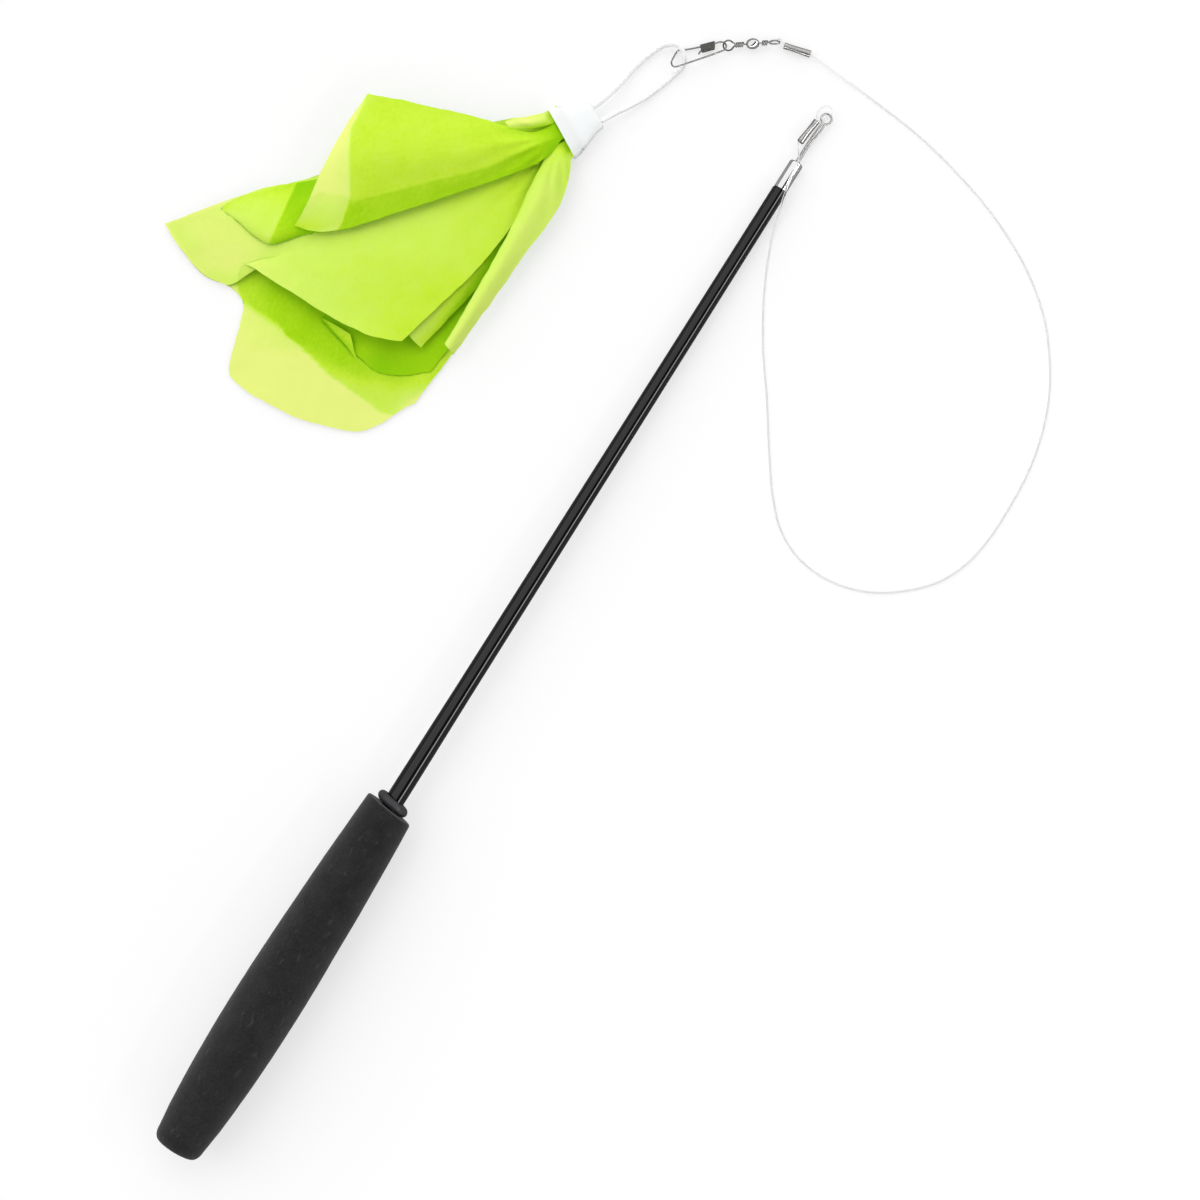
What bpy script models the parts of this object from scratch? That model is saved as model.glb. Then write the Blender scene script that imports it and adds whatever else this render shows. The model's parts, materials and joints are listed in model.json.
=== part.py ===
# Cat fishing rod toy: a foam grip, a tapered rod and a nylon line, with a swivel and a safety snap
# that carry a lure of folded tissue. Lengths are in millimetres unless a name says otherwise.
# The toy lies on a table, with the middle of its flat butt at the origin and its tip toward +Y.
import bpy
import bmesh
from math import asin, atan, cos, degrees, pi, radians, sin
from mathutils import Euler, Matrix, Vector

MM = 0.001
COLLECTION = "cat_fishing_rod_toy"
FIT_GAP = 0.3

# Grip and rod, as (distance from the butt face, radius)
GRIP_LENGTH = 166.0
GRIP_FACE_RADIUS = 8.0
GRIP_STATIONS = [(5.0, 10.8), (18.5, 12.3), (44.0, 13.75), (75.0, 14.2), (106.7, 13.5), (140.0, 12.3),
                 (165.0, 11.0)]
GRIP_FRONT_BEVEL = 0.3
GRIP_BORE_DEPTH = 150.0
ROD_STATIONS = [(471.6, 3.22), (440.0, 3.27), (355.0, 3.45), (290.0, 3.62), (224.0, 3.76), (182.0, 4.05)]
ROD_BUTT_RADIUS = 4.1
ROD_TIP_RADIUS = 2.42
ROD_TIP_AT = 481.0
ROD_TIP_BEVEL = 0.3
ROD_BUTT_BEVEL = 0.5
COLLAR_RADIUS = 7.5
COLLAR_HEIGHT = 4.2
COLLAR_LIP = [(0.0, -0.9), (0.5, -0.6)]
FERRULE_SPAN = (472.0, 485.3)
FERRULE_RADIUS = 3.0
FERRULE_WALL = 0.3
FERRULE_ROUND = 0.9
TABLE_TOUCHES = ((88.0, 14.06), (484.3, 3.0))

# Tip eye: one wire bent to a ring, with both legs held in the ferrule
EYE_WIRE = 0.85
EYE_RING_RADIUS = 2.2
EYE_RING_CENTRE = (0.7, 507.4)
EYE_LEGS_START = 482.0
EYE_LEGS_APART = 1.02
EYE_LEGS_STRAIGHT = 14.0
EYE_LEGS_MEET = 4.6
EYE_OPENING = 15

# Line: clear nylon monofilament, with a crimped sleeve at each end loop
LINE_DIAMETER = 0.7
LINE_TAIL = 0.6
LINE_BEND_SPARE = 0.4
STRANDS_APART = 0.92
CRIMP_LENGTH = 11.6
CRIMP_HALF_SIZES = (1.5, 1.3)
CRIMP_BORE_HALF_SIZES = (1.06, 0.6)
CRIMP_TWIST = 140.0
TIP_CRIMP = {"centre": (-2.9, 498.7, 3.1), "heading": 84.3, "rise": -9.0, "roll": 0.0}
SWIVEL_CRIMP = {"centre": (-25.1, 525.4, 1.9), "heading": 194.8, "rise": 2.5, "roll": -20.0}

# Swivel, along its own X axis from the line to the snap, with the ball at its origin
SWIVEL_CENTRE = (-42.3, 517.5, 2.45)
SWIVEL_HEADING = 216.2
SWIVEL_WIRE = 0.7
BALL_RADIUS = 2.27
BALL_HALF_LENGTH = 2.87
BALL_WALL = 0.4
BALL_HOLE_RADIUS = 0.66
HEAD_RADIUS = 0.95
SWIVEL_RING_RADIUS = 2.15
LINE_RING = {"at": 9.2, "roll": 60.0}
SNAP_RING = {"at": 10.2, "roll": -25.0}
NECK_START = 3.9
NECK_PITCH = 0.84
NECK_RADIUS = 0.82

# Safety snap, in its own plane: X away from the swivel, Y across, from the point where it hangs
SNAP_HEADING = 227.06
SNAP_ROLL = 30.0
SNAP_WIRE = 0.7
SNAP_BEND_RADIUS = 2.5
SNAP_BEND_AT = 1.3
SNAP_HOOK = [(10.9, 0.95), (10.3, 0.15), (9.2, -0.5), (7.6, -0.95), (6.0, -1.1), (4.7, -1.45), (3.4, -2.25)]
SNAP_LOWER_ARM = [(5.5, 3.05), (10.0, 3.5), (16.0, 4.0), (21.0, 4.4)]
SNAP_FAR_CORNER = [(22.5, 4.0), (23.0, 2.6), (22.7, 1.0), (21.1, -1.2), (20.2, -2.35), (19.3, -3.38)]
SNAP_HINGE = (19.1, -3.6)
SNAP_ARM = [(-0.22, -0.2), (-1.1, -0.2), (-2.5, 0.25), (-6.0, 0.75), (-10.0, 0.98), (-14.2, 0.95)]
CLASP_SPAN = (2.9, 9.3)
CLASP_SLANT = 1.0
CLASP_ACROSS = (-3.05, 0.25)
CLASP_SHEET = 0.3
CLASP_GAP = 1.2

# Lure: a loop of cord held in a flat moulded cap, and leaves of folded tissue
CORD_DIAMETER = 2.0
LURE_PIVOT = (-66.8, 494.6, 2.6)
CAP_MOUTH_CENTRE = (-89.75, 442.4, 4.4)
CAP_HEADING = 61.0
CAP_LENGTH = 17.0
CAP_MOUTH_SIZE = (23.6, 8.0)
CAP_NECK_SIZE = (12.6, 5.0)
CAP_POCKET_SIZE = (21.6, 6.2)
CAP_POCKET_DEPTH = 5.0
CAP_BORE_DIAMETER = 2.6
CAP_BORE_DEPTH = 8.5
CAP_BORES_APART = 6.8
LEAF_THICKNESS = 0.45
LEAF_INSERT = 4.0

# Route of the line from the first sleeve over the ferrule, round on the table, and up to the second sleeve
LINE_OVER_FERRULE = [(-1.6, 489.0, 5.4), (0.2, 485.2, 6.6), (1.1, 480.0, 6.8), (2.0, 474.0, 6.6),
                     (3.0, 469.5, 5.7), (4.6, 463.5, 3.6), (6.8, 456.0, 1.4), (9.6, 448.8, 0.45),
                     (13.6, 439.5, 0.36)]
LINE_REST = 0.36
LINE_ON_TABLE = [(19.2, 428.6), (29.8, 411.4), (42.4, 394.5), (54.3, 377.2), (66.5, 361.0),
                 (77.5, 350.6), (90.5, 345.0), (106.2, 344.4), (121.5, 349.0), (134.2, 357.6),
                 (144.3, 368.6), (150.0, 381.0), (152.3, 394.5), (152.6, 409.0), (151.3, 427.7),
                 (147.8, 443.5), (142.0, 458.5), (133.8, 472.0), (122.1, 486.0), (105.8, 498.6),
                 (84.0, 509.6), (62.2, 516.8), (37.4, 522.2)]
LINE_RISE = [(11.8, 524.8, 0.4), (-3.0, 525.7, 0.8)]
LINE_TABLE_STEPS = 26

# The line's loop through the tip eye, from the middle of the eye's ring
TIP_LOOP = [(-1.45, -1.7, -1.15), (-0.15, -0.2, 0.0), (0.55, 1.75, 1.2), (0.25, 3.4, 1.7),
            (-0.9, 4.6, 1.8), (-2.8, 4.4, 1.8), (-4.2, 2.4, 1.5), (-4.5, 0.2, 0.8)]

# Route of the lure's cord, out of one bore, through the snap and back to the other
CORD_ROUTE = [(-82.0, 465.6, 3.9), (-80.0, 474.4, 2.7), (-78.9, 482.7, 1.5), (-76.2, 491.4, 1.6),
              (-73.0, 497.4, 2.3), (-69.4, 499.9, 2.9), (-66.0, 499.4, 3.0), (-63.2, 497.0, 2.5),
              (-62.0, 493.8, 1.7), (-62.8, 490.2, 1.15), (-65.2, 482.6, 1.1), (-68.2, 474.6, 1.6),
              (-72.0, 467.2, 3.0), (-75.2, 461.8, 4.1)]

# Leaves of tissue: the stretch of the cap's mouth that each fills, its height there, and its rows of
# points from the cap to its open edge
LEAVES = {
    "paper_lower": ((0.11, 0.89, 2.3), [
        [(-113, 433, 1.6), (-104, 431, 2.0), (-92, 427, 2.0), (-80, 422, 1.5)],
        [(-142, 402, 0.9), (-120, 395, 2.2), (-98, 390, 2.2), (-79.5, 390, 0.8)],
        [(-170, 371, 0.8), (-140, 360, 2.5), (-110, 355, 2.6), (-79, 350, 0.8)],
        [(-190, 348, 0.8), (-155, 335, 2.0), (-120, 325, 2.4), (-81, 318, 0.8)],
        [(-211, 323, 0.8), (-196, 316, 0.9), (-184, 312.5, 1.0), (-172, 313, 1.0), (-163, 304, 1.0),
         (-154, 284, 0.8), (-140, 283, 1.0), (-118, 285, 1.2), (-98, 290, 1.0), (-89, 299, 0.8)]]),
    "paper_pleat": ((0.55, 0.91, 3.3), [
        [(-98, 428, 3.9), (-92, 427, 4.1), (-86, 424, 3.5)],
        [(-97, 400, 5.0), (-91, 401, 5.0), (-85.4, 402, 3.6)],
        [(-98, 372, 5.8), (-91, 373, 5.6), (-85.5, 375, 3.7)],
        [(-103, 337, 6.2), (-97, 336, 5.8), (-92, 336, 4.2)]]),
    "paper_middle": ((0.09, 0.89, 4.4), [
        [(-112, 436, 4.6), (-104, 434, 5.4), (-96, 430, 5.6), (-88, 425, 5.2)],
        [(-140, 405, 3.2), (-125, 406, 6.0), (-105, 402, 7.8), (-87, 400, 7.0)],
        [(-168, 374, 2.6), (-150, 373, 6.5), (-130, 372, 9.0), (-108, 373, 9.5), (-88.6, 375, 8.0)],
        [(-188, 352, 2.4), (-168, 350, 6.0), (-150, 350, 8.0), (-120, 350, 10.0), (-94, 355, 9.5)],
        [(-209, 325, 2.0), (-195, 328, 3.0), (-178, 327, 4.5), (-155, 327, 8.0), (-130, 327, 9.5),
         (-99.5, 336, 10.0)]]),
    "paper_top": ((0.08, 0.61, 5.6), [
        [(-108, 438, 7.2), (-101, 431, 9.6), (-94.5, 426.5, 8.4)],
        [(-123, 431, 9.0), (-114, 420, 14.5), (-103.5, 412.5, 12.0)],
        [(-140, 424, 10.5), (-131, 405, 18.0), (-119.4, 391, 15.5)],
        [(-155, 418.5, 11.0), (-151, 395, 18.5), (-139.5, 369, 15.0)],
        [(-168, 413, 10.0), (-167.5, 400, 12.0), (-167, 388, 14.0), (-167, 374, 14.0), (-164.6, 352, 12.5)]]),
    "paper_band": ((0.64, 0.87, 5.6), [
        [(-88.6, 430, 7.2), (-84, 428, 7.6), (-79.4, 427, 6.6)],
        [(-87.3, 405, 9.0), (-83, 404, 9.6), (-79.2, 403, 7.4)],
        [(-86.8, 375, 10.0), (-83, 374, 10.4), (-79.1, 374, 7.4)],
        [(-86.4, 341, 9.6), (-83, 340.6, 9.8), (-79, 340.5, 6.8)]]),
}

# The belly of the grip and the ferrule's end both touch the table, which tilts the rod
(BELLY_AT, BELLY_RADIUS), (END_AT, END_RADIUS) = TABLE_TOUCHES
TILT = atan((BELLY_RADIUS - END_RADIUS) / (END_AT - BELLY_AT))
LIFT = BELLY_RADIUS * cos(TILT) + BELLY_AT * sin(TILT)


def clear_scene():
    for item in list(bpy.data.objects):
        bpy.data.objects.remove(item, do_unlink=True)


def new_collection(name):
    collection = bpy.data.collections.new(name)
    bpy.context.scene.collection.children.link(collection)
    return collection


def new_material(name, colour, roughness, metallic=0.0, alpha=1.0):
    material = bpy.data.materials.new(name)
    material.use_nodes = True
    shader = material.node_tree.nodes["Principled BSDF"]
    shader.inputs["Base Color"].default_value = (*colour, 1.0)
    shader.inputs["Roughness"].default_value = roughness
    shader.inputs["Metallic"].default_value = metallic
    shader.inputs["Alpha"].default_value = alpha
    material.diffuse_color = (*colour, alpha)
    return material


def place(name, data, parent, material=None, location=(0, 0, 0), rotation=(0, 0, 0)):
    # Adds an object under its parent, with its location in millimetres and its rotation in degrees
    thing = bpy.data.objects.new(name, data)
    toy.objects.link(thing)
    thing.parent = parent
    thing.location = Vector(location) * MM
    thing.rotation_euler = [radians(angle) for angle in rotation]
    if material:
        data.materials.append(material)
    return thing


def pivot(name, parent, location=(0, 0, 0), rotation=(0, 0, 0)):
    empty = place(name, None, parent, None, location, rotation)
    empty.empty_display_size = 5 * MM
    return empty


def finish_mesh(build, name, smooth_angle=40):
    # Turns a bmesh into a mesh that is smooth but for its sharp edges
    mesh = bpy.data.meshes.new(name)
    build.to_mesh(mesh)
    build.free()
    mesh.shade_smooth()
    mesh.set_sharp_from_angle(angle=radians(smooth_angle))
    return mesh


def smooth_path(points, per_span):
    # Points along a centripetal Catmull-Rom curve through the given points
    points = [Vector(point) for point in points]
    ends = [2 * points[0] - points[1]] + points + [2 * points[-1] - points[-2]]
    path = []
    for a, b, c, d in zip(ends, ends[1:], ends[2:], ends[3:]):
        before, between, after = [max((q - p).length, 1e-6) ** 0.5 for p, q in ((a, b), (b, c), (c, d))]
        leave = c - b + between * ((b - a) / before - (c - a) / (before + between))
        arrive = c - b + between * ((d - c) / after - (d - b) / (between + after))
        for step in range(per_span):
            t = step / per_span
            path.append(b + t * leave + t**2 * (3 * (c - b) - 2 * leave - arrive)
                        + t**3 * (2 * (b - c) + leave + arrive))
    return path + [points[-1]]


def even_path(path, count):
    # The same path again, in a number of equal steps
    reach = [0.0]
    for p, q in zip(path, path[1:]):
        reach.append(reach[-1] + (q - p).length)
    steps = []
    at = 0
    for index in range(count + 1):
        want = reach[-1] * index / count
        while at < len(path) - 2 and reach[at + 1] < want:
            at += 1
        share = (want - reach[at]) / (reach[at + 1] - reach[at])
        steps.append(path[at].lerp(path[at + 1], min(1.0, share)))
    return steps


def arc(centre, radius, start, end, count):
    # Points along an arc in the XY plane, with its angles in degrees
    angles = [radians(start + (end - start) * step / count) for step in range(count + 1)]
    return [Vector((centre[0] + radius * cos(angle), centre[1] + radius * sin(angle), 0)) for angle in angles]


def tube(name, points, diameter, parent, material, widths=None):
    # A round wire or cord through the points, whose widths scale its radius point by point
    curve = bpy.data.curves.new(name, "CURVE")
    curve.dimensions = "3D"
    curve.bevel_depth = diameter / 2 * MM
    curve.bevel_resolution = 2
    curve.use_fill_caps = True
    spline = curve.splines.new("POLY")
    spline.points.add(len(points) - 1)
    for index, point in enumerate(points):
        spline.points[index].co = (*(Vector(point) * MM), 1.0)
        spline.points[index].radius = widths[index] if widths else 1.0
    spline.use_smooth = True
    return place(name, curve, parent, material)


def turned(name, profile, parent, material, steps, rotation=(-90, 0, 0)):
    # Turns a profile of (radius, height) points round local Z, which lies along the rod or the swivel
    build = bmesh.new()
    corners = [build.verts.new((radius * MM, 0, height * MM)) for radius, height in profile]
    for first, second in zip(corners, corners[1:]):
        build.edges.new((first, second))
    if profile[0][0] > 0:
        build.edges.new((corners[-1], corners[0]))
    mesh = bpy.data.meshes.new(name)
    build.to_mesh(mesh)
    build.free()
    piece = place(name, mesh, parent, material, rotation=rotation)
    screw = piece.modifiers.new("turn", "SCREW")
    screw.steps = steps
    screw.render_steps = steps
    screw.use_merge_vertices = True
    screw.merge_threshold = 0.00001
    screw.use_smooth_shade = True
    return piece


def skin_mesh(name, rings, closed):
    # Skins rings of points: the last ring meets the first if closed, or else both ends are capped
    build = bmesh.new()
    rows = [[build.verts.new(Vector(point) * MM) for point in ring] for ring in rings]
    pairs = list(zip(rows, rows[1:]))
    if closed:
        pairs.append((rows[-1], rows[0]))
    for low, high in pairs:
        for index, vert in enumerate(low):
            after = (index + 1) % len(low)
            build.faces.new((vert, low[after], high[after], high[index]))
    if not closed:
        build.faces.new(rows[0])
        build.faces.new(rows[-1])
    bmesh.ops.recalc_face_normals(build, faces=build.faces)
    return finish_mesh(build, name)


def make_foam_grip():
    # A swelling foam handle with a flat butt and a blind bore for the rod
    bore = ROD_BUTT_RADIUS + FIT_GAP
    bore_end = GRIP_LENGTH - GRIP_BORE_DEPTH
    front = GRIP_STATIONS[-1][1]
    low, widest = GRIP_STATIONS[0]
    profile = [(0, bore_end), (bore, bore_end), (bore, GRIP_LENGTH), (front - 1.0, GRIP_LENGTH)]
    profile.append((front - GRIP_FRONT_BEVEL, GRIP_LENGTH - GRIP_FRONT_BEVEL))
    for point in reversed(smooth_path([(radius, at, 0) for at, radius in GRIP_STATIONS], 4)):
        profile.append((point.x, point.y))
    for step in range(1, 5):
        angle = radians(90 * step / 4)
        profile.append((GRIP_FACE_RADIUS + (widest - GRIP_FACE_RADIUS) * cos(angle), low * (1 - sin(angle))))
    profile.append((0, 0))
    return turned("foam_grip", profile, rod_axis, foam, 30)


def make_grip_collar():
    # A soft round bead that finishes the foam round the rod
    inner = ROD_BUTT_RADIUS + FIT_GAP
    low = GRIP_LENGTH + FIT_GAP
    bead = COLLAR_HEIGHT / 2
    profile = [(inner + out, low + COLLAR_HEIGHT + up) for out, up in COLLAR_LIP]
    for point in arc((COLLAR_RADIUS - bead, low + bead), bead, 90, -90, 10):
        profile.append((point.x, point.y))
    profile.append((inner, low))
    return turned("grip_collar", profile, rod_axis, rubber, 30)


def make_rod_blank():
    # One tapered glass-fibre rod, from deep in the grip to inside the ferrule
    start = GRIP_LENGTH - GRIP_BORE_DEPTH + FIT_GAP
    shoulder = ROD_STATIONS[0][0]
    profile = [(0, ROD_TIP_AT), (ROD_TIP_RADIUS - ROD_TIP_BEVEL, ROD_TIP_AT)]
    profile += [(ROD_TIP_RADIUS, ROD_TIP_AT - ROD_TIP_BEVEL), (ROD_TIP_RADIUS, shoulder)]
    profile += [(radius, at) for at, radius in ROD_STATIONS]
    profile += [(ROD_BUTT_RADIUS, start + ROD_BUTT_BEVEL), (ROD_BUTT_RADIUS - ROD_BUTT_BEVEL, start)]
    profile.append((0, start))
    return turned("rod_blank", profile, rod_axis, black_gloss, 22)


def make_tip_ferrule():
    # A drawn metal cup over the rod's tip, with a hole in its end for the eye's legs
    start, end = FERRULE_SPAN
    inner = FERRULE_RADIUS - FERRULE_WALL
    hole = (EYE_LEGS_APART + EYE_WIRE) / 2 + 0.2
    floor = end - FERRULE_WALL - 0.1
    profile = [(hole, end), (FERRULE_RADIUS - FERRULE_ROUND, end), (FERRULE_RADIUS - 0.25, end - 0.25)]
    profile += [(FERRULE_RADIUS, end - FERRULE_ROUND), (FERRULE_RADIUS, start + 0.15)]
    profile += [(FERRULE_RADIUS - 0.15, start), (inner, start), (inner, floor - 0.6), (inner - 0.3, floor)]
    profile.append((hole, floor))
    return turned("tip_ferrule", profile, rod_axis, chrome, 22)


def make_tip_eye():
    # A wire ring whose two legs run side by side into the ferrule
    x, y = EYE_RING_CENTRE
    half = EYE_LEGS_APART / 2
    bend = EYE_LEGS_START + EYE_LEGS_STRAIGHT
    meet = y - EYE_LEGS_MEET
    ring = arc((x, y), EYE_RING_RADIUS, -90 - EYE_OPENING, -450 + EYE_OPENING, 24)
    left = [(-half, EYE_LEGS_START, 0), (-half, bend, 0), (x - half - 0.3, meet, 0), ring[0]]
    right = [ring[-1], (x + half + 0.1, meet, 0), (half, bend, 0), (half, EYE_LEGS_START, 0)]
    path = smooth_path(left, 3)[:-1] + ring + smooth_path(right, 3)[1:]
    return tube("tip_eye", path, EYE_WIRE, rod_axis, dull_steel)


def crimp_matrix(crimp):
    # The place of a sleeve, with its X axis along its bore toward the loop that it closes
    turn = Euler([radians(angle) for angle in (crimp["roll"], -crimp["rise"], crimp["heading"])])
    return Matrix.Translation(crimp["centre"]) @ turn.to_matrix().to_4x4()


def make_crimp(name, crimp):
    # A soft metal sleeve, pressed and twisted round the two strands in its oval bore
    matrix = crimp_matrix(crimp)
    sides = 16
    stations = 10
    angles = [2 * pi * side / sides for side in range(sides)]
    wide, high = CRIMP_HALF_SIZES
    rings = []
    for station in range(stations + 1):
        share = station / stations
        turn = radians(CRIMP_TWIST) * share
        ring = []
        for angle in angles:
            oval = Vector((0, wide * cos(angle - turn), high * sin(angle - turn)))
            oval.rotate(Euler((turn, 0, 0)))
            oval.x = CRIMP_LENGTH * (share - 0.5)
            ring.append(matrix @ oval)
        rings.append(ring)
    wide, high = CRIMP_BORE_HALF_SIZES
    for end in (CRIMP_LENGTH / 2, -CRIMP_LENGTH / 2):
        rings.append([matrix @ Vector((end, wide * cos(angle), high * sin(angle))) for angle in angles])
    return place(name, skin_mesh(name, rings, closed=True), table, crimp_metal)


def line_path():
    # The line from its tail in the first sleeve, through the tip eye, back through that sleeve, along
    # the table, through the second sleeve, round the swivel's ring and back into that sleeve
    near = crimp_matrix(TIP_CRIMP)
    far = crimp_matrix(SWIVEL_CRIMP)
    mouth = CRIMP_LENGTH / 2
    inside = mouth - 0.5
    half = STRANDS_APART / 2
    eye = rod_matrix @ Vector((*EYE_RING_CENTRE, 0))
    outside = mouth + 0.4
    tail = [near @ Vector((along, -half, 0)) for along in (LINE_TAIL - mouth, inside, outside)]
    back = [near @ Vector((along, half, 0)) for along in (outside, inside, -inside, -outside)]
    tip_end = tail + [eye + Vector(point) for point in TIP_LOOP] + back + LINE_OVER_FERRULE
    ring_wire = swivel_matrix @ Vector((-line_contact, 0, 0))
    turn = swivel_matrix.to_3x3() @ Matrix.Rotation(radians(LINE_RING["roll"] + 90), 3, "X")
    bend_radius = (SWIVEL_WIRE + LINE_DIAMETER) / 2 + LINE_BEND_SPARE
    bend = [ring_wire + turn @ point for point in arc((0, 0), bend_radius, -98, 98, 8)]
    arrive = [far @ Vector((along, half, 0)) for along in (-outside, outside)]
    leave = [far @ Vector((along, -half, 0)) for along in (outside, LINE_TAIL - mouth)]
    on_table = LINE_OVER_FERRULE[-1:] + [(x, y, LINE_REST) for x, y in LINE_ON_TABLE] + LINE_RISE
    along_table = even_path(smooth_path(on_table + arrive[:1], 8), LINE_TABLE_STEPS)
    return smooth_path(tip_end, 2)[:-1] + along_table[:-1] + arrive + bend + leave


def make_swivel_eye(name, ring, side, parent, offset):
    # One eye of the swivel: a head in the ball, a stem, the ring, and turns wrapped back down the stem
    head = HEAD_RADIUS / (SWIVEL_WIRE / 2)
    at = ring["at"]
    stem = [(0.9, 0.75 * head), (1.05, head), (1.45, head), (1.7, 1.0), (3.2, 1.0), (at - 3.4, 1.0)]
    points = [Vector((x, 0, 0)) for x, width in stem] + [Vector((at - 2.75, 0.2, 0))]
    points += arc((at, 0), SWIVEL_RING_RADIUS, 150, -150, 20)
    wrap_start = at - 2.95
    turns = (wrap_start - NECK_START) / NECK_PITCH
    for step in range(round(turns * 9) + 1):
        angle = radians(45 + 40 * step)
        x = wrap_start - NECK_PITCH * step / 9
        points.append(Vector((x, -NECK_RADIUS * cos(angle), NECK_RADIUS * sin(angle))))
    widths = [width for x, width in stem] + [1.0] * (len(points) - len(stem))
    turn = Matrix.Rotation(radians(ring["roll"]), 3, "X") @ Matrix.Rotation(pi if side < 0 else 0, 3, "Z")
    points = [turn @ point + Vector((offset, 0, 0)) for point in points]
    return tube(name, points, SWIVEL_WIRE, parent, bright_steel, widths)


def make_swivel_body():
    # A rolled hollow ball that holds the heads of both eye wires
    outer = (BALL_RADIUS, BALL_HALF_LENGTH)
    inner = (BALL_RADIUS - BALL_WALL, BALL_HALF_LENGTH - BALL_WALL)
    lip = asin((BALL_HOLE_RADIUS + 0.25) / outer[0])
    hole = asin(BALL_HOLE_RADIUS / inner[0])
    steps = 12
    profile = []
    for step in range(steps + 1):
        angle = lip + (pi - 2 * lip) * step / steps
        profile.append((outer[0] * sin(angle), outer[1] * cos(angle)))
    for step in range(steps + 1):
        angle = pi - hole - (pi - 2 * hole) * step / steps
        profile.append((inner[0] * sin(angle), inner[1] * cos(angle)))
    return turned("swivel_body", profile, barrel_spin, chrome, 26, rotation=(0, 90, 0))


def make_snap_wire():
    # The snap's sprung wire: a hook in the clasp, the bend in the swivel's ring and the lower arm
    bend = arc((SNAP_BEND_AT, 0), SNAP_BEND_RADIUS, -95, -265, 10)
    flat = [(x, y, 0) for x, y in SNAP_HOOK] + bend + [(x, y, 0) for x, y in SNAP_LOWER_ARM + SNAP_FAR_CORNER]
    return tube("snap_wire", smooth_path(flat, 2), SNAP_WIRE, snap_swing, bright_steel)


def make_snap_arm():
    # The sprung upper arm, whose end latches in the clasp
    path = smooth_path([(x, y, 0) for x, y in SNAP_ARM], 4)
    return tube("snap_arm", path, SNAP_WIRE, snap_arm_open, bright_steel)


def make_snap_clasp():
    # A strip of sheet folded round the wire's hook, and open where the sprung arm latches in
    edge, fold = CLASP_ACROSS
    middle = (CLASP_GAP + CLASP_SHEET) / 2
    section = [(edge, -middle)]
    section += [(point.x, point.y) for point in arc((fold - CLASP_GAP / 2, 0), middle, -90, 90, 8)]
    section.append((edge, middle))
    build = bmesh.new()
    near = []
    for y, z in section:
        slant = CLASP_SLANT * (y - edge) / (fold - edge)
        near.append(build.verts.new(Vector((CLASP_SPAN[0] + slant, y, z)) * MM))
    edges = [build.edges.new(pair) for pair in zip(near, near[1:])]
    for corner in bmesh.ops.extrude_edge_only(build, edges=edges)["geom"]:
        if isinstance(corner, bmesh.types.BMVert):
            corner.co.x = CLASP_SPAN[1] * MM
    bmesh.ops.recalc_face_normals(build, faces=build.faces)
    clasp = place("snap_clasp", finish_mesh(build, "snap_clasp"), snap_swing, plated_sheet)
    wall = clasp.modifiers.new("sheet", "SOLIDIFY")
    wall.thickness = CLASP_SHEET * MM
    wall.offset = 0.0
    wall.use_even_offset = True
    return clasp


def cap_ring(along, size, squareness=0.55):
    # A flat section of the cap with rounded corners, at a distance from its mouth
    ring = []
    for side in range(32):
        angle = 2 * pi * side / 32
        across = abs(cos(angle)) ** squareness * (1 if cos(angle) > 0 else -1)
        up = abs(sin(angle)) ** squareness * (1 if sin(angle) > 0 else -1)
        ring.append(cap_matrix @ Vector((along, size[0] / 2 * across, size[1] / 2 * up)))
    return ring


def cap_bore(side, depth=0.0):
    # A point on the axis of one of the cord's bores, at a depth from the neck's end
    return cap_matrix @ Vector((CAP_LENGTH - depth, side * CAP_BORES_APART / 2, 0))


def make_cap_cutters():
    pocket = [cap_ring(along, CAP_POCKET_SIZE, 0.4) for along in (-2, CAP_POCKET_DEPTH)]
    meshes = [skin_mesh("pocket_cutter", pocket, closed=False)]
    radius = CAP_BORE_DIAMETER / 2 * MM
    turn = (cap_matrix.to_3x3() @ Matrix.Rotation(pi / 2, 3, "Y")).to_4x4()
    for side in (1, -1):
        build = bmesh.new()
        matrix = Matrix.Translation(cap_bore(side, CAP_BORE_DEPTH / 2 - 1) * MM) @ turn
        bmesh.ops.create_cone(build, cap_ends=True, segments=20, radius1=radius, radius2=radius,
                              depth=(CAP_BORE_DEPTH + 2) * MM, matrix=matrix)
        meshes.append(finish_mesh(build, "bore_cutter"))
    made = []
    for mesh in meshes:
        cutter = place(mesh.name, mesh, lure)
        toy.objects.unlink(cutter)
        cutters.objects.link(cutter)
        cutter.hide_render = True
        cutter.display_type = "WIRE"
        made.append(cutter)
    return made


def make_lure_cap():
    # A flat moulded cap: the tissue is pressed in its pocket and the cord's ends in two bores
    rings = []
    for step in range(8):
        share = step / 7
        ease = share * share * (3 - 2 * share)
        size = [mouth + (neck - mouth) * ease for mouth, neck in zip(CAP_MOUTH_SIZE, CAP_NECK_SIZE)]
        rings.append(cap_ring((CAP_LENGTH - 0.7) * share, size))
    rings.append(cap_ring(CAP_LENGTH, [side - 1.4 for side in CAP_NECK_SIZE]))
    cap = place("lure_cap", skin_mesh("lure_cap", rings, closed=False), lure, milky_plastic)
    for cutter in make_cap_cutters():
        cut = cap.modifiers.new("cut", "BOOLEAN")
        cut.operation = "DIFFERENCE"
        cut.object = cutter
    return cap


def make_lure_cord():
    # A loop of soft cord with both ends in the cap's bores
    out = [cap_bore(1, CAP_BORE_DEPTH - 1), cap_bore(1)]
    back = [cap_bore(-1), cap_bore(-1, CAP_BORE_DEPTH - 1)]
    path = even_path(smooth_path(out + [Vector(point) for point in CORD_ROUTE] + back, 6), 44)
    return tube("lure_cord", path, CORD_DIAMETER, lure, white_cord)


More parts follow.
